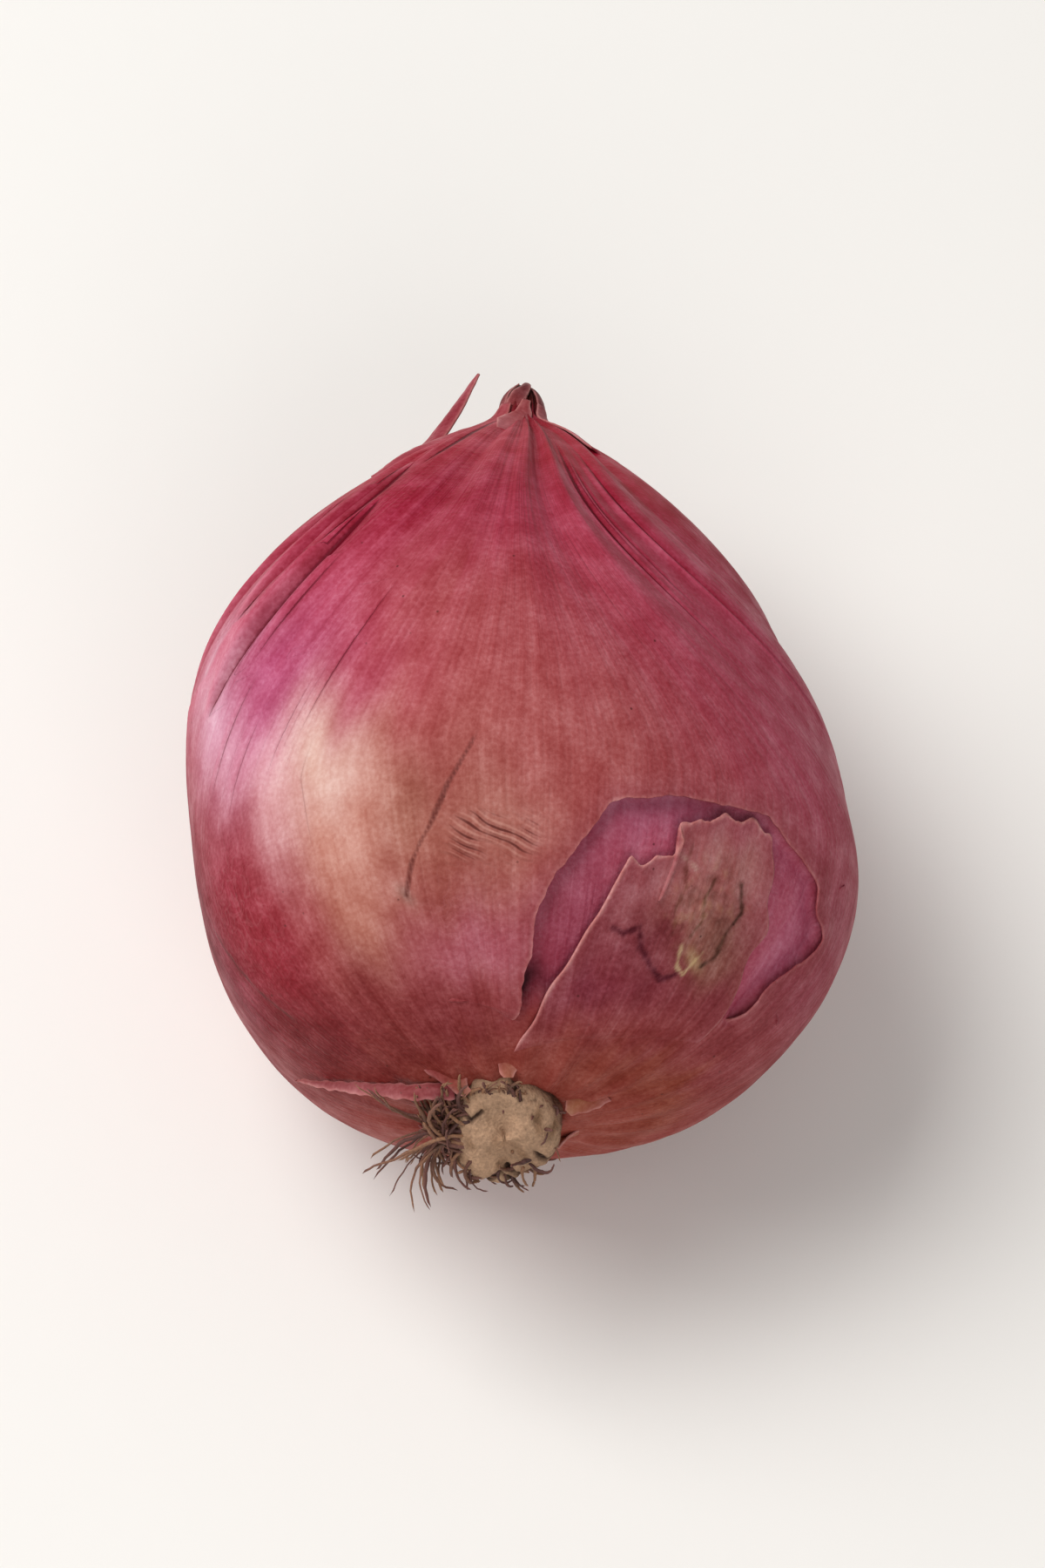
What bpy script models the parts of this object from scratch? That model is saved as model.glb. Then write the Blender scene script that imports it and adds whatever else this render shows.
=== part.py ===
"""A single red shallot, lying on its flatter side.

The bulb's axis is level and runs along Y: the root plate is at -Y, the pinched neck at +Y.
A place on the bulb is given by an angle round the axis (0 is straight up, 90 is +X) and a
height along the axis, counted in millimetres from the root plate. The origin is in the small
flat spot that the bulb lies on.
"""
import math
import random

import bmesh
import bpy
from mathutils import Matrix, Vector

MM = 0.001

# Bulb, in millimetres
BULB_RADIUS = 15.2
WIDEST_HEIGHT = 14.0
BASE_POWER = 2.25           # 2 is an ellipse, higher is a fuller base
SHOULDER_LENGTH = 22.6      # from the widest ring up to where the neck is pinched
SHOULDER_POWER = 2.35       # higher is a rounder shoulder
NECK_RADIUS = 1.15
TIP_HEIGHT = 38.3
TIP_ROUNDING = 20
AXIS_ABOVE_FLOOR = 14.5     # less than the radius, which leaves the flat spot
ORIGIN_HEIGHT = 15.0
SWAY = 1.55                 # how far the shoulder leans to -X
SWAY_START = 10.0
LOBE_DEPTH = 0.22
PLEAT_DEPTH = 0.30
PLEAT_START = 14.0
PLEAT_FULL = 27.0
PLEAT_NECK_SHARE = 0.12     # pleat depth at the neck, as a share of the radius there
GATHER_AT = 8.0             # degrees round the bulb where the pleats gather on their way up
PART_AT = -130.0            # degrees round it where they part
GATHER_PULL = 1.9           # how strongly they are drawn over, at the neck
GATHER_START = 11.5
GATHER_FULL = 26.5
GATHER_POWER = 1.3
SEGMENTS = 88
RINGS = 46

# Torn window in the outer skin
SKIN_DEPTH = 0.5
TEAR_FACING = 35.0          # degrees round the bulb, the way the torn side faces
TEAR_EDGE = [(-8, 1.2), (-1, 2.8), (4, 4.5), (9, 6.4), (15, 8.5), (22, 9.5), (35, 10.2),
             (48, 10.3), (59, 9.4), (67, 8.0), (72, 6.9), (68, 5.5), (66, 2.7)]
FLAP_EDGE = [(60, 3.0), (57, 5.7), (53, 8.2), (48, 9.6), (39, 9.5), (31, 8.8), (29, 7.6),
             (20, 7.0), (16, 5.0), (10, 2.9), (-3, 0.9)]

# Thin sliver of skin that has peeled away beside the neck
SLIVER_THICKNESS = 0.6
SLIVER_PATH = [(-5.0, 31.0), (-5.5, 33.2), (-4.6, 34.9), (-3.6, 36.5), (-2.2, 39.1)]
SLIVER_WIDTHS = [1.7, 1.5, 1.2, 0.8, 0.3]

# Root plate and rootlets
PLATE_ACROSS = -0.8         # the plate's centre, off the bulb's axis
PLATE_UP = 1.0
PLATE_TILT = 33.0           # degrees that the plate's face is turned upwards
PLATE_RADIUS = 2.5
PLATE_STRETCH = 1.18        # how much taller than wide it is
PLATE_FACE = 2.2            # how far its face stands out of the base
PLATE_BACK = -2.3
PLATE_SQUARENESS = 3.4
PLATE_DIP = 0.3
SEAT_RADIUS = 2.85
SEAT_DEPTH = 2.7
ROOTLETS = 30
ROOTLET_RADIUS = 0.26
ROOTLET_POINTS = 8
ROOTLET_SUNK = 0.9
ROOTLET_LENGTH = (0.7, 1.5)
ROOTLET_LEAN = (6.0, 30.0)  # degrees that they start out of the plate's rim
ROOTLET_CURL = (30.0, 110.0)
LEFT_MIDDLE = 1.48          # the left, in half turns round the plate's rim
LEFT_CROWDING = 0.7         # how much closer they stand on the left
LEFT_EXTRA = (1.4, 3.8)     # how much longer they are on the left
LEFT_SWEEP = 0.6            # how strongly they are brushed to -X
UPPER_CUT = 0.35            # how much shorter the upper ones on the left are
ROOTLET_SEED = 11
CLEARANCE = 0.35

SKIN_COLOUR = (0.36, 0.075, 0.11, 1.0)
ROOT_COLOUR = (0.33, 0.21, 0.12, 1.0)


def clear_scene():
    for thing in list(bpy.data.objects):
        bpy.data.objects.remove(thing, do_unlink=True)


def new_collection(name):
    group = bpy.data.collections.new(name)
    bpy.context.scene.collection.children.link(group)
    return group


def new_material(name, colour, roughness):
    material = bpy.data.materials.new(name)
    material.use_nodes = True
    shader = material.node_tree.nodes["Principled BSDF"]
    shader.inputs["Base Color"].default_value = colour
    shader.inputs["Roughness"].default_value = roughness
    material.diffuse_color = colour
    return material


def new_object(name, mesh_builder, group):
    mesh = bpy.data.meshes.new(name)
    mesh_builder.to_mesh(mesh)
    mesh_builder.free()
    thing = bpy.data.objects.new(name, mesh)
    group.objects.link(thing)
    return thing


def as_cutter(thing):
    thing.hide_render = True
    thing.display_type = "WIRE"


def smooth_step(value, start, end):
    share = min(max((value - start) / (end - start), 0.0), 1.0)
    return share * share * (3.0 - 2.0 * share)


def radius_at(height):
    """A full oval below the widest ring, a shoulder that draws in to the neck above it."""
    if height < WIDEST_HEIGHT:
        below = min((WIDEST_HEIGHT - height) / WIDEST_HEIGHT, 1.0)
        return BULB_RADIUS * (1.0 - below ** BASE_POWER) ** (1.0 / BASE_POWER)
    share = min((height - WIDEST_HEIGHT) / SHOULDER_LENGTH, 1.0)
    shoulder = BULB_RADIUS * (1.0 - share ** SHOULDER_POWER)
    neck = NECK_RADIUS * share ** 4
    tip = (height - WIDEST_HEIGHT) / (TIP_HEIGHT - WIDEST_HEIGHT)
    rounding = math.sqrt(max(0.0, 1.0 - tip ** TIP_ROUNDING))
    return math.hypot(shoulder, neck) * rounding


def sway_at(height):
    """The bulb isn't quite straight: its shoulder leans over, and its neck comes back."""
    share = max(0.0, (height - SWAY_START) / (TIP_HEIGHT - SWAY_START))
    return -0.5 * SWAY * (1.0 - math.cos(2.0 * math.pi * share))


def ungathered(angle, height):
    """The angle that the pleat which passes here has low down, before they are drawn together."""
    share = min(max((height - GATHER_START) / (GATHER_FULL - GATHER_START), 0.0), 1.0)
    half, gather, part = angle / 2.0, math.radians(GATHER_AT) / 2.0, math.radians(PART_AT) / 2.0
    near = math.sin(half - part) * math.exp(-GATHER_PULL * share ** GATHER_POWER)
    far = math.sin(gather - half)
    return 2.0 * math.atan2(near * math.sin(gather) + far * math.sin(part),
                            near * math.cos(gather) + far * math.cos(part))


def relief_at(angle, height, radius):
    """Broad lobes on the body, and pleats that gather towards the neck."""
    lobes = math.cos(3.0 * angle + 0.9) + 0.7 * math.cos(5.0 * angle - 0.6)
    lobes *= LOBE_DEPTH * min(radius / BULB_RADIUS, 1.0)
    pleat = ungathered(angle, height)
    pleats = 0.6 * math.cos(5.0 * pleat + 0.8) + 0.4 * math.cos(8.0 * pleat - 1.1)
    depth = min(PLEAT_DEPTH, PLEAT_NECK_SHARE * radius)
    return lobes + pleats * depth * smooth_step(height, PLEAT_START, PLEAT_FULL)


def bulb_point(angle, height, inset=0.0):
    """The place on the bulb's skin, or inset millimetres below it, in metres."""
    radius = radius_at(height)
    radius += relief_at(angle, height, radius) - min(inset, radius / 2)
    across = sway_at(height) + radius * math.sin(angle)
    up = AXIS_ABOVE_FLOOR + radius * math.cos(angle)
    height = inset + height * (1.0 - 2.0 * inset / TIP_HEIGHT)
    return Vector((across, height - ORIGIN_HEIGHT, up)) * MM


def bulb_mesh(inset=0.0):
    """A sphere whose rings are moved onto the bulb's rings."""
    builder = bmesh.new()
    bmesh.ops.create_uvsphere(builder, u_segments=SEGMENTS, v_segments=RINGS, radius=1.0)
    for vertex in builder.verts:
        x, y, z = vertex.co
        angle = math.atan2(x, y)
        height = WIDEST_HEIGHT * (1.0 + z)
        if z > 0.0:
            share = math.asin(min(z, 1.0)) / (math.pi / 2)
            height = WIDEST_HEIGHT + (TIP_HEIGHT - WIDEST_HEIGHT) * share
        vertex.co = bulb_point(angle, height, inset)
    bmesh.ops.recalc_face_normals(builder, faces=builder.faces)
    return builder


def outline_block(outline, group):
    """An outline given on the bulb's skin, as a block that runs out through it where it faces."""
    facing = math.radians(TEAR_FACING)
    sideways = Vector((math.cos(facing), 0.0, -math.sin(facing)))
    outwards = Vector((math.sin(facing), 0.0, math.cos(facing)))
    axis_line = Vector((0.0, 0.0, AXIS_ABOVE_FLOOR * MM))
    builder = bmesh.new()
    corners = []
    for degrees, height in outline:
        place = bulb_point(math.radians(degrees), height) - axis_line
        flat = axis_line + sideways * place.dot(sideways) + Vector((0.0, place.y, 0.0))
        corners.append(builder.verts.new(flat))
    face = builder.faces.new(corners)
    raised = bmesh.ops.extrude_face_region(builder, geom=[face])
    top = [item for item in raised["geom"] if isinstance(item, bmesh.types.BMVert)]
    bmesh.ops.translate(builder, verts=top, vec=outwards * 1.2 * BULB_RADIUS * MM)
    bmesh.ops.recalc_face_normals(builder, faces=builder.faces)
    block = new_object("tear_cutter", builder, group)
    as_cutter(block)
    return block


def boolean(thing, operation, other):
    modifier = thing.modifiers.new(operation.title(), "BOOLEAN")
    modifier.operation = operation
    modifier.object = other


def apply_modifiers(thing):
    """Fixes a mesh as its modifiers leave it."""
    graph = bpy.context.evaluated_depsgraph_get()
    fixed = bpy.data.meshes.new_from_object(thing.evaluated_get(graph))
    thing.modifiers.clear()
    thing.data = fixed


def tear_cutter(group):
    """The window's outline, back along the flap that still hangs on, one skin deep."""
    cutter = outline_block(TEAR_EDGE + FLAP_EDGE, group)
    under_skin = new_object("under_skin", bulb_mesh(SKIN_DEPTH), group)
    boolean(cutter, "DIFFERENCE", under_skin)
    apply_modifiers(cutter)
    bpy.data.objects.remove(under_skin, do_unlink=True)
    return cutter


def plate_frame():
    """Where the root plate sits: its own Z points out of the base, its own X is the bulb's."""
    place = Vector((PLATE_ACROSS, -ORIGIN_HEIGHT, AXIS_ABOVE_FLOOR + PLATE_UP)) * MM
    return Matrix.Translation(place) @ Matrix.Rotation(math.radians(90.0 - PLATE_TILT), 4, "X")


def plate_shape():
    """The plate's frame, stretched as the plate is."""
    return plate_frame() @ Matrix.Diagonal((1.0, PLATE_STRETCH, 1.0, 1.0))


def seat_cutter(group):
    """The shallow seat in the base for the root plate."""
    builder = bmesh.new()
    bmesh.ops.create_cone(builder, cap_ends=True, segments=36, radius1=SEAT_RADIUS * MM,
                          radius2=SEAT_RADIUS * MM, depth=2.0 * SEAT_DEPTH * MM)
    cutter = new_object("seat_cutter", builder, group)
    cutter.matrix_world = plate_shape()
    as_cutter(cutter)
    return cutter


def sliver(group):
    """A flat blade that tapers along its path, wide at the neck and pointed at its end."""
    builder = bmesh.new()
    rings = []
    for (across, height), width in zip(SLIVER_PATH, SLIVER_WIDTHS):
        centre = Vector((across, height - ORIGIN_HEIGHT, AXIS_ABOVE_FLOOR)) * MM
        half_width = Vector((0.0, 0.0, width / 2)) * MM
        half_thick = Vector((SLIVER_THICKNESS / 2, 0.0, 0.0)) * MM
        corners = (half_width - half_thick, half_width + half_thick,
                   half_thick - half_width, -half_width - half_thick)
        rings.append([builder.verts.new(centre + corner) for corner in corners])
    for lower, upper in zip(rings, rings[1:]):
        for index in range(4):
            following = (index + 1) % 4
            builder.faces.new((lower[index], lower[following], upper[following], upper[index]))
    builder.faces.new(rings[0])
    builder.faces.new(rings[-1])
    bmesh.ops.recalc_face_normals(builder, faces=builder.faces)
    blade = new_object("sliver", builder, group)
    as_cutter(blade)
    return blade


def flatten_underside(thing):
    """Cuts the bulb level with the floor, which leaves the spot it rests on."""
    builder = bmesh.new()
    builder.from_mesh(thing.data)
    everything = builder.verts[:] + builder.edges[:] + builder.faces[:]
    cut = bmesh.ops.bisect_plane(builder, geom=everything, dist=1e-7, plane_co=(0, 0, 0),
                                 plane_no=(0, 0, -1), clear_outer=True)
    rim = [item for item in cut["geom_cut"] if isinstance(item, bmesh.types.BMEdge)]
    bmesh.ops.holes_fill(builder, edges=rim)
    bmesh.ops.recalc_face_normals(builder, faces=builder.faces)
    builder.to_mesh(thing.data)
    builder.free()


def make_bulb(group, tools):
    bulb = new_object("bulb", bulb_mesh(), group)
    flatten_underside(bulb)
    boolean(bulb, "UNION", sliver(tools))
    boolean(bulb, "DIFFERENCE", tear_cutter(tools))
    boolean(bulb, "DIFFERENCE", seat_cutter(tools))
    apply_modifiers(bulb)
    bulb.data.materials.clear()
    bulb.data.materials.append(new_material("shallot_skin", SKIN_COLOUR, 0.38))
    return bulb


def make_plate(group):
    """The corky root plate: a squarish drum with an uneven rim and a dip in its face."""
    builder = bmesh.new()
    bmesh.ops.create_uvsphere(builder, u_segments=28, v_segments=14, radius=1.0)
    middle, half = (PLATE_FACE + PLATE_BACK) / 2, (PLATE_FACE - PLATE_BACK) / 2
    for vertex in builder.verts:
        x, y, z = vertex.co
        reach = math.hypot(x, y)
        size = (reach ** PLATE_SQUARENESS + abs(z) ** PLATE_SQUARENESS) ** (1 / PLATE_SQUARENESS)
        angle = math.atan2(x, y)
        radius = PLATE_RADIUS * (reach / size) * (1.0 + 0.05 * math.cos(3 * angle + 1.0))
        out = middle + half * z / size
        if z > 0.0:
            out -= PLATE_DIP * (1.0 - (reach / size) ** 2) * (1.0 + math.cos(2 * angle + 0.5)) * z
        vertex.co = Vector((radius * math.sin(angle), radius * math.cos(angle), out)) * MM
    bmesh.ops.transform(builder, matrix=plate_shape(), verts=builder.verts)
    bmesh.ops.recalc_face_normals(builder, faces=builder.faces)
    return new_object("roots", builder, group)


def clear_of_bulb(place):
    """Moves a rootlet's point away from the base where it would touch the skin."""
    reach = min(math.hypot(place.x, place.z - AXIS_ABOVE_FLOOR * MM) / (BULB_RADIUS * MM), 1.0)
    below = (1.0 - reach ** BASE_POWER) ** (1.0 / BASE_POWER)
    skin = WIDEST_HEIGHT * (1.0 - below) - ORIGIN_HEIGHT
    place.y = min(place.y, (skin - CLEARANCE - 2.0 * ROOTLET_RADIUS) * MM)
    return place


def rootlet_path(index, draw):
    """From inside the plate's rim outwards in a curl; those on the left are the longest."""
    angle = 2.0 * math.pi * (index + 0.7 * draw.random()) / ROOTLETS
    angle -= LEFT_CROWDING * math.sin(angle - LEFT_MIDDLE * math.pi)
    left = max(0.0, -math.sin(angle)) * (1.0 - UPPER_CUT * max(0.0, math.cos(angle)))
    length = draw.uniform(*ROOTLET_LENGTH) + left * draw.uniform(*LEFT_EXTRA)
    lean = math.radians(draw.uniform(*ROOTLET_LEAN))
    outwards = Vector((math.sin(angle), math.cos(angle), 0.0))
    heading = outwards * math.cos(lean) + Vector((0.0, 0.0, math.sin(lean)))
    heading = (heading - Vector((LEFT_SWEEP * draw.random(), 0.0, 0.0))).normalized()
    curl_axis = Vector((draw.uniform(-1, 1), draw.uniform(-1, 1), draw.choice((-1.6, 1.6))))
    curl = math.radians(draw.uniform(*ROOTLET_CURL)) / ROOTLET_POINTS
    turn = Matrix.Rotation(curl, 3, curl_axis.normalized())
    place = outwards * (PLATE_RADIUS - ROOTLET_SUNK)
    place.z = PLATE_FACE * draw.uniform(0.25, 0.7)
    frame = plate_shape()
    path = []
    for _ in range(ROOTLET_POINTS):
        path.append(clear_of_bulb(frame @ (place * MM)))
        place += heading * (length + ROOTLET_SUNK) / (ROOTLET_POINTS - 1)
        heading = turn @ heading
    return path


def make_rootlet(index, draw, group):
    curve = bpy.data.curves.new("rootlet", "CURVE")
    curve.dimensions = "3D"
    curve.bevel_depth = ROOTLET_RADIUS * MM
    curve.bevel_resolution = 1
    curve.use_fill_caps = True
    spline = curve.splines.new("POLY")
    spline.points.add(ROOTLET_POINTS - 1)
    for number, place in enumerate(rootlet_path(index, draw)):
        spline.points[number].co = (*place, 1.0)
        spline.points[number].radius = 1.15 - 0.5 * number / (ROOTLET_POINTS - 1)
    strand = bpy.data.objects.new("rootlet_curve", curve)
    group.objects.link(strand)
    graph = bpy.context.evaluated_depsgraph_get()
    mesh = bpy.data.meshes.new_from_object(strand.evaluated_get(graph))
    builder = bmesh.new()
    builder.from_mesh(mesh)
    bmesh.ops.remove_doubles(builder, verts=builder.verts, dist=1e-6)
    bmesh.ops.recalc_face_normals(builder, faces=builder.faces)
    bpy.data.objects.remove(strand, do_unlink=True)
    return new_object(f"rootlet_{index}", builder, group)


def make_roots(group):
    roots = make_plate(group)
    strands = new_collection("rootlets")
    draw = random.Random(ROOTLET_SEED)
    for index in range(ROOTLETS):
        make_rootlet(index, draw, strands)
    join = roots.modifiers.new("Union", "BOOLEAN")
    join.operation = "UNION"
    join.solver = "MANIFOLD"
    join.operand_type = "COLLECTION"
    join.collection = strands
    apply_modifiers(roots)
    for strand in list(strands.objects):
        bpy.data.objects.remove(strand, do_unlink=True)
    bpy.data.collections.remove(strands)
    roots.data.materials.clear()
    roots.data.materials.append(new_material("root_fibre", ROOT_COLOUR, 0.85))
    return roots


def shade(thing):
    thing.data.shade_smooth()
    thing.data.set_sharp_from_angle(angle=math.radians(40))


clear_scene()
shallot = new_collection("shallot")
cutters = new_collection("cutters")
for piece in (make_bulb(shallot, cutters), make_roots(shallot)):
    shade(piece)
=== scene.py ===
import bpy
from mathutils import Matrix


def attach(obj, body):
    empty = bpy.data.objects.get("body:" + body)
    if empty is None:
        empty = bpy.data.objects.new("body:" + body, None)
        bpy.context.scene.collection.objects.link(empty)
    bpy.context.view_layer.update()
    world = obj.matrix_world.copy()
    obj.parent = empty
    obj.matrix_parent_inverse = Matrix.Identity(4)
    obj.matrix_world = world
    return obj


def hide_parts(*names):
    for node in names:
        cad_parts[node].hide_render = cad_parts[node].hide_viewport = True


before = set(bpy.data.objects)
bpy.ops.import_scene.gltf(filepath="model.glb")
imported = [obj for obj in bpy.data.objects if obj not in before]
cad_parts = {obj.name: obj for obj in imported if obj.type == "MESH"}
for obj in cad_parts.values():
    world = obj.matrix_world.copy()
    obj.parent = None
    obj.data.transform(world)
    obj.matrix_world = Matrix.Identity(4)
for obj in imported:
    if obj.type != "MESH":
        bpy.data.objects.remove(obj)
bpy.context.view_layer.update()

import math
import random

import bpy
import numpy as np
from mathutils import Matrix, Vector, noise

# Camera
# The bulb lies with its root end nearer, and the camera looks steeply down on it, so that
# it is seen as in the photograph: neck up, root plate turned a little towards the viewer.
CAMERA_ELEVATION = 63.0
CAMERA_DISTANCE = 0.30
VIEW_HEIGHT = 0.072            # what the frame takes in from top to bottom, at the bulb
VIEW_CENTRE = Vector((0.0, 0.0016, 0.0155))
SENSOR = 36.0

elevation = math.radians(CAMERA_ELEVATION)
towards_camera = Vector((0.0, -math.cos(elevation), math.sin(elevation)))
bpy.ops.object.camera_add(location=VIEW_CENTRE + towards_camera * CAMERA_DISTANCE)
camera = bpy.context.object
camera.rotation_euler = towards_camera.to_track_quat("Z", "Y").to_euler()
camera.data.sensor_fit = "VERTICAL"
camera.data.sensor_height = SENSOR
camera.data.lens = SENSOR * CAMERA_DISTANCE / VIEW_HEIGHT
camera.data.clip_start = 0.01
bpy.context.scene.camera = camera
bpy.context.scene.view_settings.view_transform = "Standard"

# Floor and light
# A plain pale tabletop under a broad soft light high on the left, with weak lights low on
# the left and in front of the root end, and an even white surround.
def linear(hex_colour):
    """An sRGB hex colour as linear red, green, blue and alpha."""
    parts = [int(hex_colour[start:start + 2], 16) / 255 for start in (1, 3, 5)]
    return tuple(p / 12.92 if p <= 0.04045 else ((p + 0.055) / 1.055) ** 2.4 for p in parts) + (1.0,)


def add_node(tree, kind, inputs, **settings):
    """Adds a node. Inputs go by socket identifier, each a value, another node's output, or a
    node, which stands for its first output."""
    node = tree.nodes.new("ShaderNode" + kind)
    for name, value in settings.items():
        setattr(node, name, value)
    sockets = {socket.identifier: socket for socket in node.inputs}
    for name, value in inputs.items():
        if isinstance(value, bpy.types.Node):
            value = value.outputs[0]
        if isinstance(value, bpy.types.NodeSocket):
            tree.links.new(value, sockets[name])
        else:
            sockets[name].default_value = value
    return node


def new_material(name):
    """An empty material with only its output and a Principled shader."""
    material = bpy.data.materials.new(name)
    material.use_nodes = True
    return material, material.node_tree, material.node_tree.nodes["Principled BSDF"]


MM = 0.001
FLOOR_SIZE = 3.0
FLOOR_COLOUR = "#f1eee9"
FLOOR_GRAIN = 1.0 / 900.0      # as a share of its width
FLOOR_ROUGHNESS = 0.7
SURROUND_STRENGTH = 0.33
LIGHTS = {                     # place, size across, watts
    "key_light": ((-0.26, 0.10, 0.50), 0.34, 2.34),
    "side_light": ((-0.44, 0.06, 0.14), 0.20, 0.35),
    "front_light": ((0.06, -0.42, 0.34), 0.30, 0.7),
}

bpy.ops.mesh.primitive_plane_add(size=FLOOR_SIZE)
floor = bpy.context.object
floor.name = "floor"
# Matt painted tabletop: off-white and dull, with a grain just strong enough to show.
floor_material, tree, shader = new_material("matt_tabletop")
grain = add_node(tree, "TexNoise", {"Scale": 1.0 / FLOOR_GRAIN, "Detail": 3.0})
grain_bump = add_node(tree, "Bump", {"Strength": 0.1, "Distance": 0.2 * MM, "Height": grain})
tree.links.new(grain_bump.outputs["Normal"], shader.inputs["Normal"])
shader.inputs["Base Color"].default_value = linear(FLOOR_COLOUR)
shader.inputs["Roughness"].default_value = FLOOR_ROUGHNESS
floor.data.materials.append(floor_material)

for name, (place, size, watts) in LIGHTS.items():
    bpy.ops.object.light_add(type="AREA", location=place)
    light = bpy.context.object
    light.name = name
    light.data.size = size
    light.data.energy = watts
    light.rotation_euler = (Vector(place) - VIEW_CENTRE).to_track_quat("Z", "Y").to_euler()
world = bpy.data.worlds.new("surround")
world.use_nodes = True
surround = world.node_tree.nodes["Background"]
surround.inputs["Color"].default_value = linear("#ffffff")
surround.inputs["Strength"].default_value = SURROUND_STRENGTH
bpy.context.scene.world = world

# Bulb
# The swollen leaf bases in their own dry outer skin. The skin is a papery leaf, drawn into
# pleats where it gathers at the neck; on the front it has torn open over the layer below.
BULB_RADIUS = 15.2
WIDEST_HEIGHT = 14.0
BASE_POWER = 2.25
SHOULDER_LENGTH = 22.6
SHOULDER_POWER = 2.35
NECK_RADIUS = 1.15
TIP_HEIGHT = 38.3
TIP_ROUNDING = 20
AXIS_ABOVE_FLOOR = 14.5
ORIGIN_HEIGHT = 15.0
SWAY = 1.55
SWAY_START = 10.0
LOBE_DEPTH = 0.22
PLEAT_DEPTH = 0.30
PLEAT_START = 14.0
PLEAT_FULL = 27.0
PLEAT_NECK_SHARE = 0.12
GATHER_AT = 8.0                # degrees round the bulb where the pleats gather on their way up
PART_AT = -130.0               # degrees round it where they part
GATHER_PULL = 1.9
GATHER_START = 11.5
GATHER_FULL = 26.5
GATHER_POWER = 1.3
GATHER_BEND = 8.0              # how tight the bend is in which they stop gathering
PLATE_ACROSS = -0.8
PLATE_UP = 1.0
PLATE_RADIUS = 2.5

SEGMENTS = 340
RINGS = 290
FRONT_CROWDING = 0.5           # how much closer the segments stand on the front

FINE_PLEAT_DEPTH = 0.10
WRINKLE_DEPTH = 0.03
DENT_DEPTH = 0.16
WINDOW_DEPTH = 0.45            # from the outer skin down to the layer under it
DIMPLE_DEPTH = 0.7
DIMPLE_RADIUS = 2.0
PUCKER_COUNT = 19
PUCKER_DEPTH = 0.12

# Sharp folds along the pleats: degrees round the bulb low down, heights of both ends, depth
# and half width. Each is a valley with a lip on one side.
FOLDS = {
    "long_fold": (-81.5, 16.8, 25.8, 0.55, 0.72),
    "long_twin": (-73, 18, 22.6, 0.08, 0.2),
    "rim_fold": (-92.5, 21, 31, 0.5, 0.62),
    "rim_twin": (-87, 23.6, 29, 0.22, 0.36),
    "neck_valley": (-98, 28, 36.6, 0.36, 0.5),
    "neck_twin": (-82, 28.5, 35.4, 0.16, 0.3),
    "outer_fold": (-103, 19.4, 28, 0.38, 0.55),
    "contour_fold": (-116, 19.5, 31, 0.34, 0.5),
    "short_fold": (-45, 13.4, 20.4, 0.06, 0.09),
    "short_twin": (-50, 12.2, 16.4, 0.04, 0.08),
    "low_fold": (-60, 11.4, 15.6, 0.05, 0.1),
    "low_twin": (-69, 12.8, 17.6, 0.05, 0.12),
    "gold_crease": (-40.5, 8.2, 13.4, 0.02, 0.08),
    "right_neck_fold": (60, 29, 35.6, 0.06, 0.14),
    "far_fold": (86, 18.5, 32, 0.12, 0.18),
    "far_twin": (98, 20, 30, 0.1, 0.14),
    "under_fold": (126, 14, 31, 0.13, 0.15),
    "back_fold": (158, 16, 32, 0.14, 0.15),
    "far_back_fold": (-160, 19, 32, 0.14, 0.15),
}
FOLD_LIP = 0.30                # the lip's height, as a share of the fold's depth
FOLD_LIP_AT = 2.2              # how far beside the fold it stands, in half widths
FOLD_LIP_WIDTH = 1.3           # its own half width, in the same
# Where one strip of skin ends on top of another, with painted shade along that edge
OVERLAPS = [
    [(1, 15.6), (-3, 13.5), (-8.5, 11.3), (-12.5, 9.7), (-16, 8.2), (-20.6, 6.8), (-23, 5.6),
     (-23.6, 5.2)],
    [(-84, 13.5), (-80, 10.5), (-77, 7.5), (-74, 5), (-70, 3.2)],
]
OVERLAP_STEP = 0.06
OVERLAP_REACH = 2.2
OVERLAP_SHADE = 0.6
OVERLAP_RAGGED = 0.10
# Short cross wrinkles beside the window
CROSS_WRINKLE_CENTRE = (-5.0, 7.5)
CROSS_WRINKLE_SPREAD = (2.4, 1.35)
CROSS_WRINKLE_SPACING = 0.50
CROSS_WRINKLE_DEPTH = 0.05
CROSS_WRINKLE_SLANT = 0.55
# Where the skin has fine pale wrinkles: angle, height, spread across and along
CRAZING = [(-64, 8, 3.6, 4.4), (-12, 4.5, 3, 2), (58, 12.5, 4, 3), (140, 9, 6, 5)]

# The torn edge of the outer skin, from the lower left round to the lower right
WINDOW_EDGE = [
    (-6.9, 1.26), (-1.1, 1.64), (0.2, 2.52), (2.3, 3.42), (2.4, 4.33), (4.4, 5.26), (7.2, 6.3),
    (10, 7.13), (12.8, 8.07), (14.6, 8.8), (16.5, 9.22), (21.4, 9.44), (27.2, 9.87), (35.1, 10.09),
    (42.1, 10.32), (48, 10.43), (54.2, 9.75), (59.3, 9.36), (64.3, 8.97), (67.1, 7.94), (71, 7.53),
    (72.7, 7), (71.3, 6.24), (68.9, 5.59), (65.3, 4.41), (65.6, 3.7), (64.6, 3.1), (61, 2.68),
]
WINDOW_FOOT = [(39.6, 2.35), (15.9, 1.95), (-0.2, 1.46)]

# The skin's colours, from the root plate up to the neck
SKIN_COLOURS = [(0, "#94483c"), (1.6, "#9a4640"), (5, "#8e3c45"), (11, "#a54c54"),
                (17, "#ae4658"), (23, "#a8324a"), (28, "#980f2c"), (33, "#a01c34"),
                (36.4, "#90222e"), (37, "#5e1e1c"), (37.5, "#3b1411"), (38.3, "#2a0f0b")]
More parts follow.
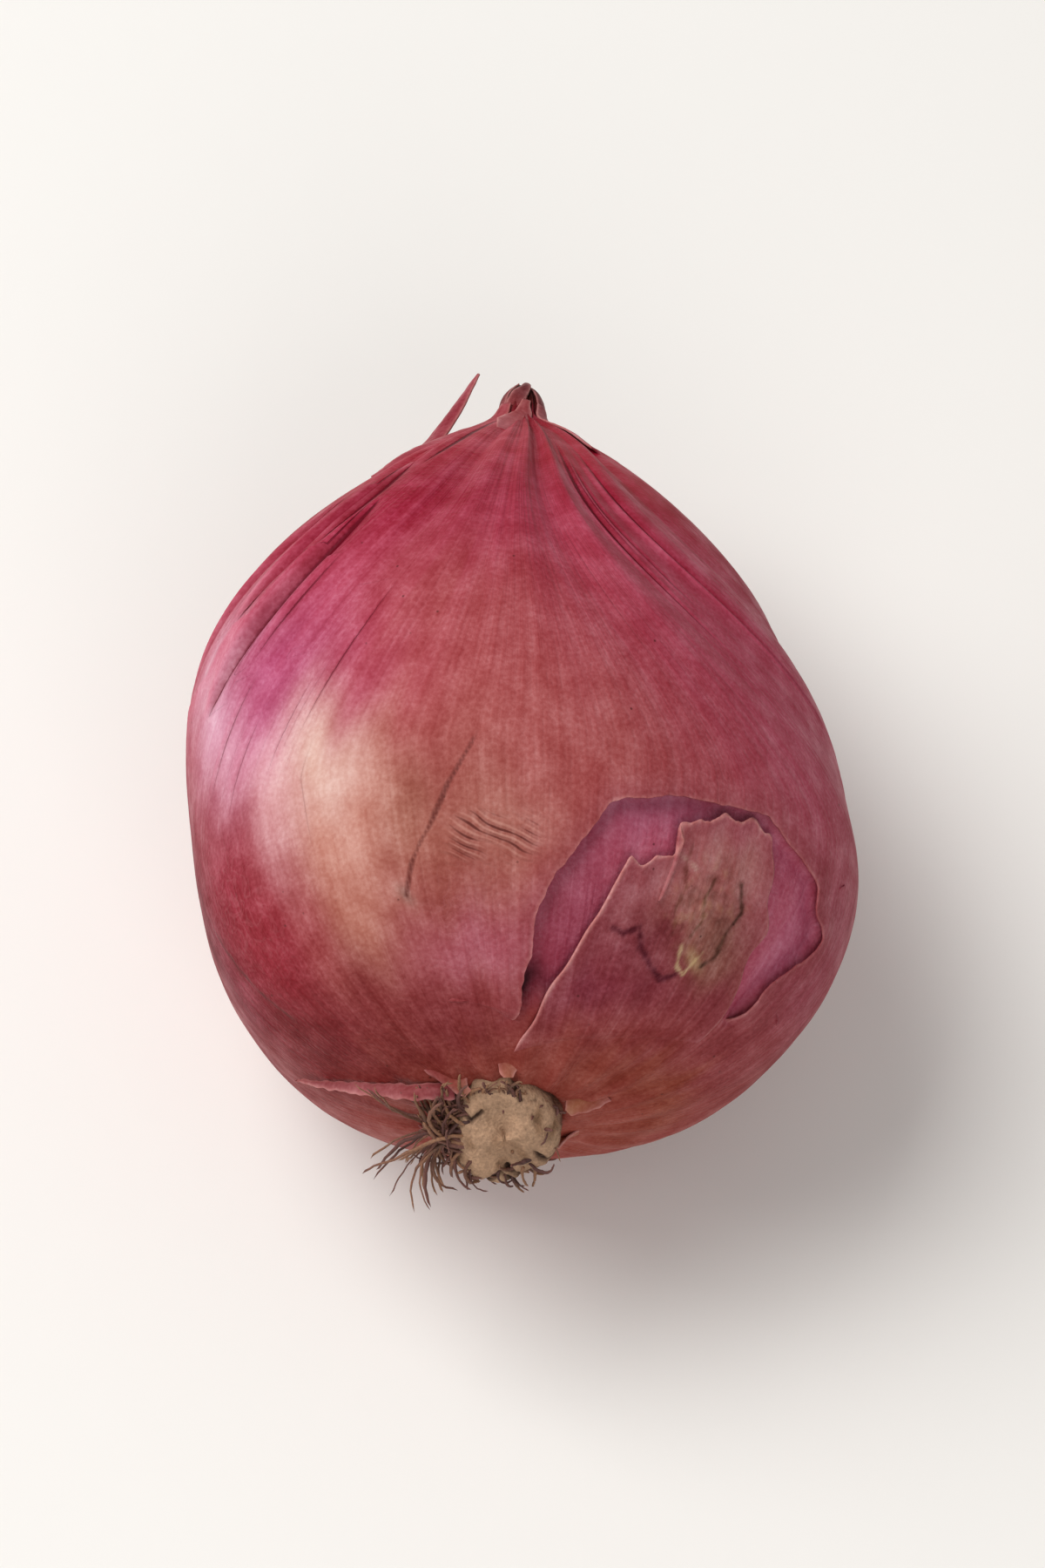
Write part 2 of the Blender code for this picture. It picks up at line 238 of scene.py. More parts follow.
# Soft patches on it: angle, height, spread across and along in millimetres, strength, colour
SKIN_PATCHES = [
    (6, 13, 7, 6.5, 0.8, "#a25650"),
    (-19, 13.5, 3.2, 4, 0.85, "#a95a56"),
    (-23, 8.5, 2.6, 3, 0.9, "#885040"),
    (-29, 9.8, 1.4, 3, 0.7, "#ba7a6c"),
    (-12, 18.5, 3, 3.2, 0.75, "#ac4a58"),
    (-6, 23, 3.4, 3, 0.7, "#a63c52"),
    (-16, 25, 4.2, 2.8, 0.85, "#920f2c"),
    (-8, 30, 3, 2.6, 0.6, "#a4354a"),
    (-26, 20.2, 3.2, 2.6, 0.85, "#a63450"),
    (-35, 17.8, 3, 2.8, 0.85, "#b04260"),
    (-44, 16.6, 2.8, 2.4, 0.95, "#a64a68"),
    # The next two are pinkish skin with a painted sheen highlight on the left shoulder
    (-57, 16.6, 2.4, 3.2, 0.95, "#e0b0c2"),
    (-50.5, 13, 2.2, 1.7, 0.95, "#d99ab0"),
    (-47.5, 10.6, 1.5, 2.2, 0.9, "#d29c9e"),
    (-36.5, 11.8, 1.35, 2.5, 1, "#d2aa9e"),
    (-36, 7.6, 1.3, 1.9, 0.95, "#c48d7e"),
    (-37, 4.6, 1.4, 1.8, 0.95, "#c08674"),
    (-65, 9.4, 2.6, 2.8, 0.9, "#8e2838"),
    (-63, 5.6, 3.6, 2.6, 0.9, "#8c2430"),
    # The next three darken the lower left and its edge towards the root end: partly the skin's deeper
    # crimson, partly painted shade on the side turned from the light
    (-84, 9, 2, 5.5, 0.8, "#6e1226"),
    (-68, 2.6, 5, 2, 0.9, "#6e1a20"),
    (-44, 1.2, 3.4, 1.3, 0.85, "#702420"),
    (-5, 7.6, 2.4, 1.5, 0.85, "#ab6c60"),
    (-11, 5.4, 2, 1.2, 0.8, "#9c5850"),
    (-5, 3.5, 2.8, 1.4, 0.75, "#b0606e"),
    (-24, 2, 1.8, 1, 0.7, "#873a3c"),
    (20, 1.6, 5, 1.6, 0.5, "#803038"),
    (30, 20, 5, 5, 0.55, "#a83c55"),
    (62, 15, 5, 6, 0.65, "#ac445c"),
    (80, 7.5, 2.4, 3.5, 0.65, "#964252"),
    (76, 2.4, 4, 2, 0.65, "#823038"),
    (84, 0.9, 5, 1.2, 0.75, "#843a26"),
    (-44, 17.4, 2.4, 1.9, 0.9, "#a63c62"),
    (-48.5, 15.6, 1.2, 1.2, 0.6, "#b04e74"),
    (-8, 18.5, 3.4, 3, 0.5, "#9c5048"),
    (-23.8, 5.25, 0.24, 0.24, 1, "#2c0f0c"),
    (-24.6, 5.25, 0.5, 0.4, 0.5, "#c89084"),
    (150, 12, 7, 7, 0.5, "#9c4a3a"),
    (-140, 16, 6, 8, 0.5, "#a04036"),
]
# Painted shade for the pleats' valleys and the folds, and a painted highlight for their ridges and the
# folds' lips
VALLEY_SHADE_COLOUR = "#7a0820"
RIDGE_HIGHLIGHT_COLOUR = "#cd6079"
NECK_COLOUR = "#a80c2c"
NECK_FLUSH = 0.5
# The layer under it, as it shows in the window, and the soft patches on that
UNDER_COLOURS = [(1, "#9a3c4a"), (3, "#b04e60"), (6, "#b6586a"), (9, "#b2566c"), (10.5, "#b65c72")]
UNDER_PATCHES = [
    (10.1, 4.76, 1.6, 3, 0.6, "#8f3f54"),
    (25.3, 9.35, 3, 1, 0.6, "#b0647c"),
    (67.4, 6.13, 1.6, 2.2, 0.85, "#bd6a83"),
    # Painted shadow in the gap at the window's lower left corner, under the lifted skin
    (0, 2.13, 0.7, 0.7, 1, "#2e0914"),
]


def radius_at(height):
    """A full oval below the widest ring, a shoulder that draws in to the neck above it."""
    below = np.clip((WIDEST_HEIGHT - height) / WIDEST_HEIGHT, 0.0, 1.0)
    share = np.clip((height - WIDEST_HEIGHT) / SHOULDER_LENGTH, 0.0, 1.0)
    tip = np.clip((height - WIDEST_HEIGHT) / (TIP_HEIGHT - WIDEST_HEIGHT), 0.0, 1.0)
    shoulder = BULB_RADIUS * (1.0 - share ** SHOULDER_POWER)
    upper = np.hypot(shoulder, NECK_RADIUS * share ** 4) * np.sqrt(1.0 - tip ** TIP_ROUNDING)
    lower = BULB_RADIUS * (1.0 - below ** BASE_POWER) ** (1.0 / BASE_POWER)
    return np.where(height < WIDEST_HEIGHT, lower, upper)


def sway_at(height):
    """The bulb isn't quite straight: its shoulder leans over, and its neck comes back."""
    share = np.clip((height - SWAY_START) / (TIP_HEIGHT - SWAY_START), 0.0, 1.0)
    return -0.5 * SWAY * (1.0 - np.cos(2.0 * np.pi * share))


# Heights and the length of skin up to them, measured along the bulb's profile
slant = np.linspace(-np.pi / 2, 0.0, 400)
profile_heights = np.concatenate([WIDEST_HEIGHT * (1.0 + np.sin(slant)),
                                  np.linspace(WIDEST_HEIGHT, TIP_HEIGHT, 1200)[1:]])
profile_steps = np.hypot(np.diff(profile_heights), np.diff(radius_at(profile_heights)))
profile_lengths = np.concatenate([[0.0], np.cumsum(profile_steps)])


def length_to(height):
    return np.interp(height, profile_heights, profile_lengths)


def height_of(length):
    return np.interp(length, profile_lengths, profile_heights)


def turn_from(start, angle):
    """How far an angle is past another, between half a turn back and half a turn on."""
    return (angle - start + np.pi) % (2.0 * np.pi) - np.pi


def smooth_step(value, start, end):
    share = np.clip((value - start) / (end - start), 0.0, 1.0)
    return share * share * (3.0 - 2.0 * share)


def gathered(pleat, height, pull=GATHER_PULL):
    """Where round the bulb a pleat has been drawn to at a height, from its angle low down."""
    share = (height - GATHER_START) / (GATHER_FULL - GATHER_START)
    share = np.maximum(share - np.logaddexp(0.0, GATHER_BEND * (share - 1.0)) / GATHER_BEND, 0.0)
    half, gather, part = pleat / 2.0, math.radians(GATHER_AT) / 2.0, math.radians(PART_AT) / 2.0
    near = np.sin(half - part) * np.exp(pull * share ** GATHER_POWER)
    far = np.sin(gather - half)
    return turn_from(0.0, 2.0 * np.arctan2(near * math.sin(gather) + far * math.sin(part),
                                           near * math.cos(gather) + far * math.cos(part)))


def ungathered(angle, height):
    """The angle that the pleat which passes here has low down, before they are drawn together."""
    return gathered(angle, height, -GATHER_PULL)


def pleat_width(angle, height):
    """How wide a pleat is here, against its width low down."""
    pleat = ungathered(angle, height)
    return turn_from(gathered(pleat - 0.01, height), gathered(pleat + 0.01, height)) / 0.02


def skin_places(angle, length):
    """Places that spread evenly round the bulb and run along its pleats, in millimetres."""
    pleat = ungathered(angle, height_of(length))
    return np.stack([BULB_RADIUS * np.cos(pleat), BULB_RADIUS * np.sin(pleat), length], axis=-1)


def noise_at(places, size, stretch=1.0, seed=0.0):
    """Smooth noise from -1 to 1, size millimetres from one swell to the next across the bulb
    and stretch times that along it."""
    scaled = places / np.array([size, size, size * stretch]) + seed
    return np.array([noise.noise(place) for place in scaled.tolist()])


def corners_of(path):
    """A path of (degrees, height) as angles and lengths of skin."""
    return [(math.radians(degrees), float(length_to(height))) for degrees, height in path]


def path_distance(angle, length, path):
    """Distance in millimetres to a path on the skin, which side it is on, and how far along."""
    corners = corners_of(path)
    spans = [math.hypot((end[0] - start[0]) * BULB_RADIUS, end[1] - start[1])
             for start, end in zip(corners, corners[1:])]
    best = np.full(angle.shape, 1e9)
    side, share, run = np.zeros(angle.shape), np.zeros(angle.shape), 0.0
    radius = np.maximum(radius_at(height_of(length)), 0.5)
    for start, end, span in zip(corners, corners[1:], spans):
        along_x, along_y = (end[0] - start[0]) * radius, end[1] - start[1]
        x, y = turn_from(start[0], angle) * radius, length - start[1]
        part = np.clip((x * along_x + y * along_y) / (along_x ** 2 + along_y ** 2), 0.0, 1.0)
        gap_x, gap_y = x - part * along_x, y - part * along_y
        distance = np.hypot(gap_x, gap_y)
        closer = distance < best
        best = np.where(closer, distance, best)
        side = np.where(closer, np.sign(along_x * gap_y - along_y * gap_x), side)
        share = np.where(closer, (run + part * span) / sum(spans), share)
        run += span
    return best, side, share


def inside_outline(angle, length, outline):
    """True where a place on the skin is within a closed outline."""
    corners = corners_of(outline)
    inside = np.zeros(angle.shape, bool)
    for (x0, y0), (x1, y1) in zip(corners, corners[1:] + corners[:1]):
        if y0 != y1:
            crossing = x0 + (length - y0) * (x1 - x0) / (y1 - y0)
            inside ^= ((y0 > length) != (y1 > length)) & (angle < crossing)
    return inside


def base_relief(angle, height, radius):
    """Broad lobes on the body, and pleats that gather towards the neck."""
    lobes = np.cos(3.0 * angle + 0.9) + 0.7 * np.cos(5.0 * angle - 0.6)
    lobes *= LOBE_DEPTH * np.minimum(radius / BULB_RADIUS, 1.0)
    pleat = ungathered(angle, height)
    pleats = 0.6 * np.cos(5.0 * pleat + 0.8) + 0.4 * np.cos(8.0 * pleat - 1.1)
    depth = np.minimum(PLEAT_DEPTH, PLEAT_NECK_SHARE * radius)
    return lobes + pleats * depth * smooth_step(height, PLEAT_START, PLEAT_FULL)


def nearest_fold(angle, height, radius):
    """Signed distance to the nearest fold, and that fold's depth and half width, in millimetres."""
    pleat = ungathered(angle, height)
    scale = np.maximum(radius, 0.5) * pleat_width(angle, height)
    gap, depth, width = np.full(angle.shape, 9.0), np.zeros(angle.shape), np.full(angle.shape, 0.1)
    for degrees, low, high, full_depth, half_width in FOLDS.values():
        middle, half = (low + high) / 2, (high - low) / 2
        taper = np.clip(1.0 - ((height - middle) / half) ** 2, 0.0, 1.0)
        distance = turn_from(math.radians(degrees), pleat) * scale
        nearer = (np.abs(distance) < np.abs(gap)) & (taper > 0.0)
        gap = np.where(nearer, distance, gap)
        depth = np.where(nearer, full_depth * taper, depth)
        width = np.where(nearer, half_width * (0.2 + 0.8 * taper), width)
    return np.clip(gap, -2.0, 2.0), depth, width


def pleat_waves(angle, length):
    """Broad and fine ridges along the skin, from 1 on a ridge down to about -1 in a valley."""
    places = skin_places(angle, length)
    broad = 1.0 - 2.4 * np.abs(noise_at(places, 6.0, 8.0, 3.0))
    fine = 1.0 - 2.4 * np.abs(noise_at(places, 2.4, 12.0, 9.0))
    return broad, fine


def overlap_at(angle, length):
    """The step where a strip of skin ends on another, and how near that edge is, from 0 to 1."""
    step, near = np.zeros(angle.shape), np.zeros(angle.shape)
    ragged = OVERLAP_RAGGED * noise_at(skin_places(angle, length), 0.8, 1.0, 29.0)
    for path in OVERLAPS:
        distance, side, share = path_distance(angle, length, path)
        distance = np.abs(distance + ragged)
        fade = smooth_step(share, 0.05, 0.45) * smooth_step(1.0 - share, 0.0, 0.04)
        on_top = (side > 0) * np.exp(-(distance / OVERLAP_REACH) ** 2)
        step += OVERLAP_STEP * fade * on_top * smooth_step(distance, 0.0, 0.12)
        near = np.maximum(near, fade * np.clip(1.0 - distance / OVERLAP_SHADE, 0.0, 1.0))
    return step, near


def skin_relief(angle, length, height, radius):
    """The skin's own unevenness in millimetres."""
    places = skin_places(angle, length)
    neckwards = smooth_step(height, 15.0, 28.0) * smooth_step(-height, -37.5, -33.0)
    narrow = np.minimum(1.0, radius / 6.0)
    broad, fine = pleat_waves(angle, length)
    wide = np.clip(1.6 * pleat_width(angle, height), 0.0, 1.0)
    relief = FINE_PLEAT_DEPTH * (broad + 0.5 * fine) * (0.15 + 0.85 * neckwards)
    relief *= (0.3 + 0.7 * wide) * narrow
    relief += WRINKLE_DEPTH * noise_at(places, 1.4, 5.0, 21.0) * narrow * wide
    relief += DENT_DEPTH * noise_at(places, 7.0, 1.6, 5.0) * narrow
    gap, depth, width = nearest_fold(angle, height, radius)
    lip = np.exp(-((gap + FOLD_LIP_AT * width) / (FOLD_LIP_WIDTH * width)) ** 2)
    relief += depth * (FOLD_LIP * lip - np.exp(-(gap / width) ** 2))
    relief += overlap_at(angle, length)[0]
    puckers = np.cos(PUCKER_COUNT * angle + 2.0 * noise_at(places, 5.0, 1.0, 2.0))
    relief += PUCKER_DEPTH * puckers * smooth_step(length, 2.6, 4.4) * smooth_step(-length, -9.0, -4.0)
    return relief


def fine_lines(angle, length):
    """What the skin's material draws finer than the mesh: the distance to the nearest fold, how
    strong that fold is and its half width; the phase of the cross wrinkles, how strong they are,
    and how near an overlap's edge is; then how strong the veins and the fine wrinkles are."""
    height = height_of(length)
    radius = radius_at(height)
    places = skin_places(angle, length)
    gap, depth, width = nearest_fold(angle, height, radius)
    centre_angle, centre_height = CROSS_WRINKLE_CENTRE
    across = (angle - math.radians(centre_angle)) * radius
    along = length - float(length_to(centre_height))
    spread_x, spread_y = CROSS_WRINKLE_SPREAD
    weight = np.exp(-(across / spread_x) ** 4 - (along / spread_y) ** 4)
    wobble = 0.22 * noise_at(places, 1.1, 1.0, 14.0) - 0.03 * across ** 2
    weight *= np.clip(0.95 + noise_at(places, 1.4, 1.0, 17.0), 0.0, 1.0)
    phase = (along + CROSS_WRINKLE_SLANT * across + wobble) / CROSS_WRINKLE_SPACING
    crazed = np.zeros(angle.shape)
    for degrees, middle, spread_x, spread_y in CRAZING:
        x = turn_from(math.radians(degrees), angle) * radius / spread_x
        y = (length - float(length_to(middle))) / spread_y
        crazed = np.maximum(crazed, np.exp(-x * x - y * y))
    veined = smooth_step(pleat_width(angle, height) * radius / BULB_RADIUS, 0.05, 0.75)
    folds = np.stack([gap, np.minimum(depth / 0.10, 1.0), 0.5 * width], axis=1)
    lines = np.stack([phase, weight, overlap_at(angle, length)[1]], axis=1)
    return folds, lines, np.stack([veined, crazed, np.zeros(angle.shape)], axis=1)


def skin_points(angle, length, lift):
    """Points in metres on the outer skin, lifted off it by so many millimetres."""
    height = height_of(length)
    radius = radius_at(height)
    step = 0.05
    above, below = height_of(length + step), height_of(length - step)
    rise, widening = above - below, radius_at(above) - radius_at(below)
    steepness = np.maximum(np.hypot(rise, widening), 1e-9)
    out_radial, out_axial = rise / steepness, -widening / steepness
    reach = radius + base_relief(angle, height, radius) + lift * out_radial
    across = sway_at(height) + reach * np.sin(angle)
    up = AXIS_ABOVE_FLOOR + reach * np.cos(angle)
    dimple = np.hypot(across - PLATE_ACROSS, up - AXIS_ABOVE_FLOOR - PLATE_UP)
    sunk = DIMPLE_DEPTH * smooth_step(-dimple, -DIMPLE_RADIUS - 0.9, -DIMPLE_RADIUS) * (height < 5.0)
    along = height + lift * out_axial + sunk - ORIGIN_HEIGHT
    return np.stack([across, along, np.maximum(up, 0.0)], axis=-1) * MM


def ramp(stops, value):
    """Linear colours from a list of (value, hex colour) stops."""
    keys = [stop[0] for stop in stops]
    colours = np.array([linear(stop[1])[:3] for stop in stops])
    return np.stack([np.interp(value, keys, colours[:, i]) for i in range(3)], axis=-1)


def paint(colour, weight, hex_colour):
    return colour + (np.array(linear(hex_colour)[:3]) - colour) * np.clip(weight, 0.0, 1.0)[:, None]


def blend_patches(colour, angle, length, patches):
    """Lays soft patches of colour over one another, with streaky, uneven borders."""
    places = skin_places(angle, length)
    drift = 0.8 * noise_at(places, 2.2, 4.0, 31.0)
    slide = 1.3 * noise_at(places, 1.6, 6.0, 37.0)
    radius = radius_at(height_of(length))
    for degrees, height, across, along, strength, hex_colour in patches:
        x = (turn_from(math.radians(degrees), angle) * radius + drift) / across
        y = (length - float(length_to(height)) + slide) / along
        colour = paint(colour, strength * np.exp(-0.5 * (x * x + y * y)), hex_colour)
    return colour


def skin_colour(angle, length):
    """The outer skin's colours, with painted shade in its valleys and folds and a painted highlight on its
    ridges and beside its folds.
    """
    height = height_of(length)
    drift = 0.4 * noise_at(skin_places(angle, length), 2.6, 5.0, 41.0)
    colour = blend_patches(ramp(SKIN_COLOURS, height + drift), angle, length, SKIN_PATCHES)
    broad, fine = pleat_waves(angle, length)
    pleated = smooth_step(height, 13.0, 24.0) * smooth_step(-height, -36.0, -30.0)
    valleys = np.clip(-0.35 - 0.5 * broad - 0.3 * fine, 0.0, 0.35)
    ridges = np.clip(0.3 * broad + 0.25 * fine - 0.28, 0.0, 0.2)
    # Painted shade in the pleats' valleys and a painted highlight on their ridges
    colour = paint(colour, pleated * valleys, VALLEY_SHADE_COLOUR)
    colour = paint(colour, pleated * ridges, RIDGE_HIGHLIGHT_COLOUR)
    gap, depth, width = nearest_fold(angle, height, radius_at(height))
    neck_front = smooth_step(height, 28.0, 31.0) * smooth_step(angle, *np.radians([-80.0, -50.0]))
    strength = np.minimum(depth / 0.15, 1.0) * (1.0 - 0.6 * neck_front)
    # A painted highlight on each fold's lip beside it, and painted shade down the fold
    lip = np.exp(-((gap + 2.6 * width) / (1.3 * width)) ** 2)
    colour = paint(colour, 0.5 * strength * lip, RIDGE_HIGHLIGHT_COLOUR)
    colour = paint(colour, 0.7 * strength * np.exp(-(gap / (1.6 * width)) ** 2), VALLEY_SHADE_COLOUR)
    flush = smooth_step(height, 27.0, 31.0) * smooth_step(-height, -36.4, -34.5)
    return paint(colour, NECK_FLUSH * flush, NECK_COLOUR)


def store(mesh, name, kind, values):
    """Keeps a value, a vector or a colour at each point of a mesh for its material."""
    layer = mesh.attributes.new(name, kind, "POINT")
    if kind == "FLOAT_COLOR":
        values = np.concatenate([values, np.ones((len(values), 1))], axis=1)
    field = {"FLOAT": "value", "FLOAT_VECTOR": "vector", "FLOAT_COLOR": "color"}[kind]
    layer.data.foreach_set(field, np.ascontiguousarray(values, np.float32).ravel())


def vertex_places(piece):
    places = np.empty(3 * len(piece.data.vertices), np.float32)
    piece.data.vertices.foreach_get("co", places)
    return places.reshape(-1, 3).astype(float)


def add_ball(name, segments, rings):
    """A round start for a piece, its poles along Z, and the places of its points."""
    bpy.ops.object.select_all(action="DESELECT")
    bpy.ops.mesh.primitive_uv_sphere_add(segments=segments, ring_count=rings, radius=1.0)
    ball = bpy.context.object
    ball.name = name
    return ball, vertex_places(ball)


def move_points(piece, points):
    piece.data.vertices.foreach_set("co", points.astype(np.float32).ravel())
    piece.data.update()
    piece.data.shade_smooth()


def finish_skin(piece, points, run, colour, under, drawn):
    """Moves a mesh's points into place and stores what the skin's material reads."""
    move_points(piece, points)
    store(piece.data, "tint", "FLOAT_COLOR", colour)
    store(piece.data, "run", "FLOAT_VECTOR", run)
    store(piece.data, "under", "FLOAT", under)
    store(piece.data, "folds", "FLOAT_VECTOR", drawn[0])
    store(piece.data, "lines", "FLOAT_VECTOR", drawn[1])
    store(piece.data, "wear", "FLOAT_VECTOR", drawn[2])
    piece.data.materials.append(skin_material)
    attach(piece, "root")


# Dry outer scale of a red shallot: a papery leaf a tenth of a millimetre thick, grown, not
# made, with a soft waxy gloss, fine lengthwise veins and pinprick specks. Where its pigment
# is denser it is darker and purer in colour, so the veins change the colour's gamma.
SKIN_ROUGHNESS = (0.42, 0.56)
UNDER_ROUGHNESS = 0.27
SKIN_SPECULAR = 0.07
VEIN_SPACING = 0.60            # millimetres, as all the sizes here
FINE_VEIN_SPACING = 0.22
VEIN_STRETCH = 20.0
CELL_SIZE = 0.20
MOTTLE_SIZE = 1.5
PIGMENT_DENSITY = 1.02
MIXED_COLOUR = 2               # the colour among a Mix node's outputs
SPECK_SPACING = 1.5
SPECK_RADIUS = 0.085
SPECK_COLOUR = "#3f1a14"
# Painted shade down each fold's valley
FOLD_SHADE_COLOUR = "#5e0618"
FOLD_WOBBLE = 0.03
# Painted shade in the cross wrinkles' troughs and along the overlaps' edges, and a painted highlight on the
# wrinkles' crests
CREASE_SHADE_COLOUR = "#501b18"
WRINKLE_HIGHLIGHT_COLOUR = "#d8a898"
CRAZING_SIZE = 0.9
CRAZING_WIDTH = 0.05           # of its lines, as a share of the noise they are drawn from
CRAZING_STRENGTH = 0.10
CRAZING_COLOUR = "#cf8c92"
skin_material, tree, shader = new_material("dry_shallot_skin")
tint, run, under, *stored = [add_node(tree, "Attribute", {}, attribute_name=name)
                             for name in ("tint", "run", "under", "folds", "lines", "wear")]
fold, line, wear = [add_node(tree, "SeparateXYZ", {"Vector": node.outputs["Vector"]}) for node in stored]
place = add_node(tree, "TexCoord", {})
in_mm = add_node(tree, "VectorMath", {"Vector": place.outputs["Object"], "Scale": 1.0 / MM},
                 operation="SCALE")
stretched = add_node(tree, "Mapping", {"Vector": run.outputs["Vector"],
                                       "Scale": (1.0, 1.0, 1.0 / VEIN_STRETCH)})
veins, fine_veins, cells, mottle = [
    add_node(tree, "TexNoise", {"Vector": vector, "Scale": 1.0 / size, "Detail": detail})
    for vector, size, detail in ((stretched, VEIN_SPACING, 2.0), (stretched, FINE_VEIN_SPACING, 1.0),
                                 (in_mm, CELL_SIZE, 2.0), (in_mm, MOTTLE_SIZE, 5.0))]

# Each noise as a swing to both sides of a middle value
vein_swing, fine_vein_swing, cell_swing, mottle_swing, fold_wobble = [
    add_node(tree, "MapRange", {"Value": node, "From Min": 0.3, "From Max": 0.7,
                                "To Min": middle - swing / 2, "To Max": middle + swing / 2})
    for node, middle, swing in ((veins, 0.0, 0.16), (fine_veins, 0.0, 0.09), (cells, 0.0, 0.20),
                                (mottle, PIGMENT_DENSITY, 0.28), (cells, 0.0, FOLD_WOBBLE))]
veining = add_node(tree, "Math", {"Value": vein_swing, "Value_001": fine_vein_swing}, operation="ADD")
blotches = add_node(tree, "Math", {"Value": cell_swing, "Value_001": mottle_swing}, operation="ADD")
density = add_node(tree, "Math", {"Value": veining, "Value_001": wear.outputs["X"], "Value_002": blotches},
                   operation="MULTIPLY_ADD")
pigment = add_node(tree, "Gamma", {"Color": tint, "Gamma": density})

# Specks, painted shade down the folds, fine wrinkles, a painted highlight and painted shade on the
# cross wrinkles, and painted shade along the overlaps' edges. Each mask: what it is drawn from,
# where that starts to show and where in full, and how strong it then is.
specks = add_node(tree, "TexVoronoi", {"Vector": in_mm, "Scale": 1.0 / SPECK_SPACING})
fold_gap = add_node(tree, "Math", {"Value": fold.outputs["X"], "Value_001": fold_wobble}, operation="ADD")
fold_near = add_node(tree, "Math", {"Value": fold_gap}, operation="ABSOLUTE")
fold_share = add_node(tree, "Math", {"Value": fold_near, "Value_001": fold.outputs["Z"]}, operation="DIVIDE")
crazing = add_node(tree, "TexNoise", {"Vector": in_mm, "Scale": 1.0 / CRAZING_SIZE, "Detail": 2.0,
                                      "Distortion": 0.6})
craze_gap = add_node(tree, "Math", {"Value": crazing, "Value_001": 0.5}, operation="SUBTRACT")
craze_near = add_node(tree, "Math", {"Value": craze_gap}, operation="ABSOLUTE")
phase = add_node(tree, "Math", {"Value": line.outputs["X"], "Value_001": 2.0 * math.pi},
                 operation="MULTIPLY")
wave = add_node(tree, "Math", {"Value": phase}, operation="SINE")
wrinkle = add_node(tree, "Math", {"Value": wave, "Value_001": line.outputs["Y"]}, operation="MULTIPLY")
speck_mask, fold_shade_line, craze_line, wrinkle_highlight, wrinkle_shade, overlap_edge_shade = [
    add_node(tree, "MapRange", {"Value": value, "From Min": start, "From Max": end, "To Min": 0.0,
                                "To Max": strength}, interpolation_type=kind)
    for value, start, end, strength, kind in (
        (specks, SPECK_RADIUS / SPECK_SPACING, 0.4 * SPECK_RADIUS / SPECK_SPACING, 0.7, "LINEAR"),
        (fold_share, 1.0, 0.3, 0.95, "SMOOTHSTEP"),
        (craze_near, CRAZING_WIDTH, 0.0, CRAZING_STRENGTH, "LINEAR"),
        (wrinkle, 0.5, 1.0, 0.28, "LINEAR"),
        (wrinkle, -0.55, -0.9, 0.85, "LINEAR"),
        (line.outputs["Z"], 0.72, 0.95, 0.78, "LINEAR"))]
fold_shade_mask, craze_mask = [
    add_node(tree, "Math", {"Value": drawn, "Value_001": strength}, operation="MULTIPLY")
    for drawn, strength in ((fold_shade_line, fold.outputs["Y"]), (craze_line, wear.outputs["Y"]))]
# Painted shade of the cross wrinkles and of the overlaps' edges together
crease_shade = add_node(tree, "Math", {"Value": wrinkle_shade, "Value_001": overlap_edge_shade}, operation="MAXIMUM")
skin = pigment.outputs["Color"]
for mask, hex_colour in ((speck_mask, SPECK_COLOUR), (fold_shade_mask, FOLD_SHADE_COLOUR), (craze_mask, CRAZING_COLOUR),
                         (wrinkle_highlight, WRINKLE_HIGHLIGHT_COLOUR), (crease_shade, CREASE_SHADE_COLOUR)):
    layer = add_node(tree, "Mix", {"Factor_Float": mask, "A_Color": skin, "B_Color": linear(hex_colour)},
                     data_type="RGBA")
    skin = layer.outputs[MIXED_COLOUR]

outer_roughness = add_node(tree, "MapRange", {
    "Value": mottle, "From Min": 0.35, "From Max": 0.65, "To Min": SKIN_ROUGHNESS[0],
    "To Max": SKIN_ROUGHNESS[1]})
roughness = add_node(tree, "Mix", {"Factor_Float": under.outputs["Fac"], "A_Float": outer_roughness,
                                   "B_Float": UNDER_ROUGHNESS})
normal = {}
for height, depth in ((cells, 0.03), (fine_veins, 0.02), (veins, 0.05), (wrinkle, CROSS_WRINKLE_DEPTH),
                      (fold_shade_mask, -0.06), (craze_mask, 0.03)):
    bump = add_node(tree, "Bump", {"Height": height, "Distance": abs(depth) * MM, **normal},
                    invert=depth < 0)
    normal = {"Normal": bump}
tree.links.new(skin, shader.inputs["Base Color"])
tree.links.new(roughness.outputs[0], shader.inputs["Roughness"])
tree.links.new(bump.outputs["Normal"], shader.inputs["Normal"])
shader.inputs["Specular IOR Level"].default_value = SKIN_SPECULAR

bulb, sphere = add_ball("bulb_skin", SEGMENTS, RINGS)
turn = np.arctan2(-sphere[:, 0], sphere[:, 1])
length = np.arccos(np.clip(-sphere[:, 2], -1.0, 1.0)) / np.pi * profile_lengths[-1]
height = height_of(length)
angle = gathered(turn - FRONT_CROWDING * np.sin(turn), height)
radius = radius_at(height)
relief = skin_relief(angle, length, height, radius)

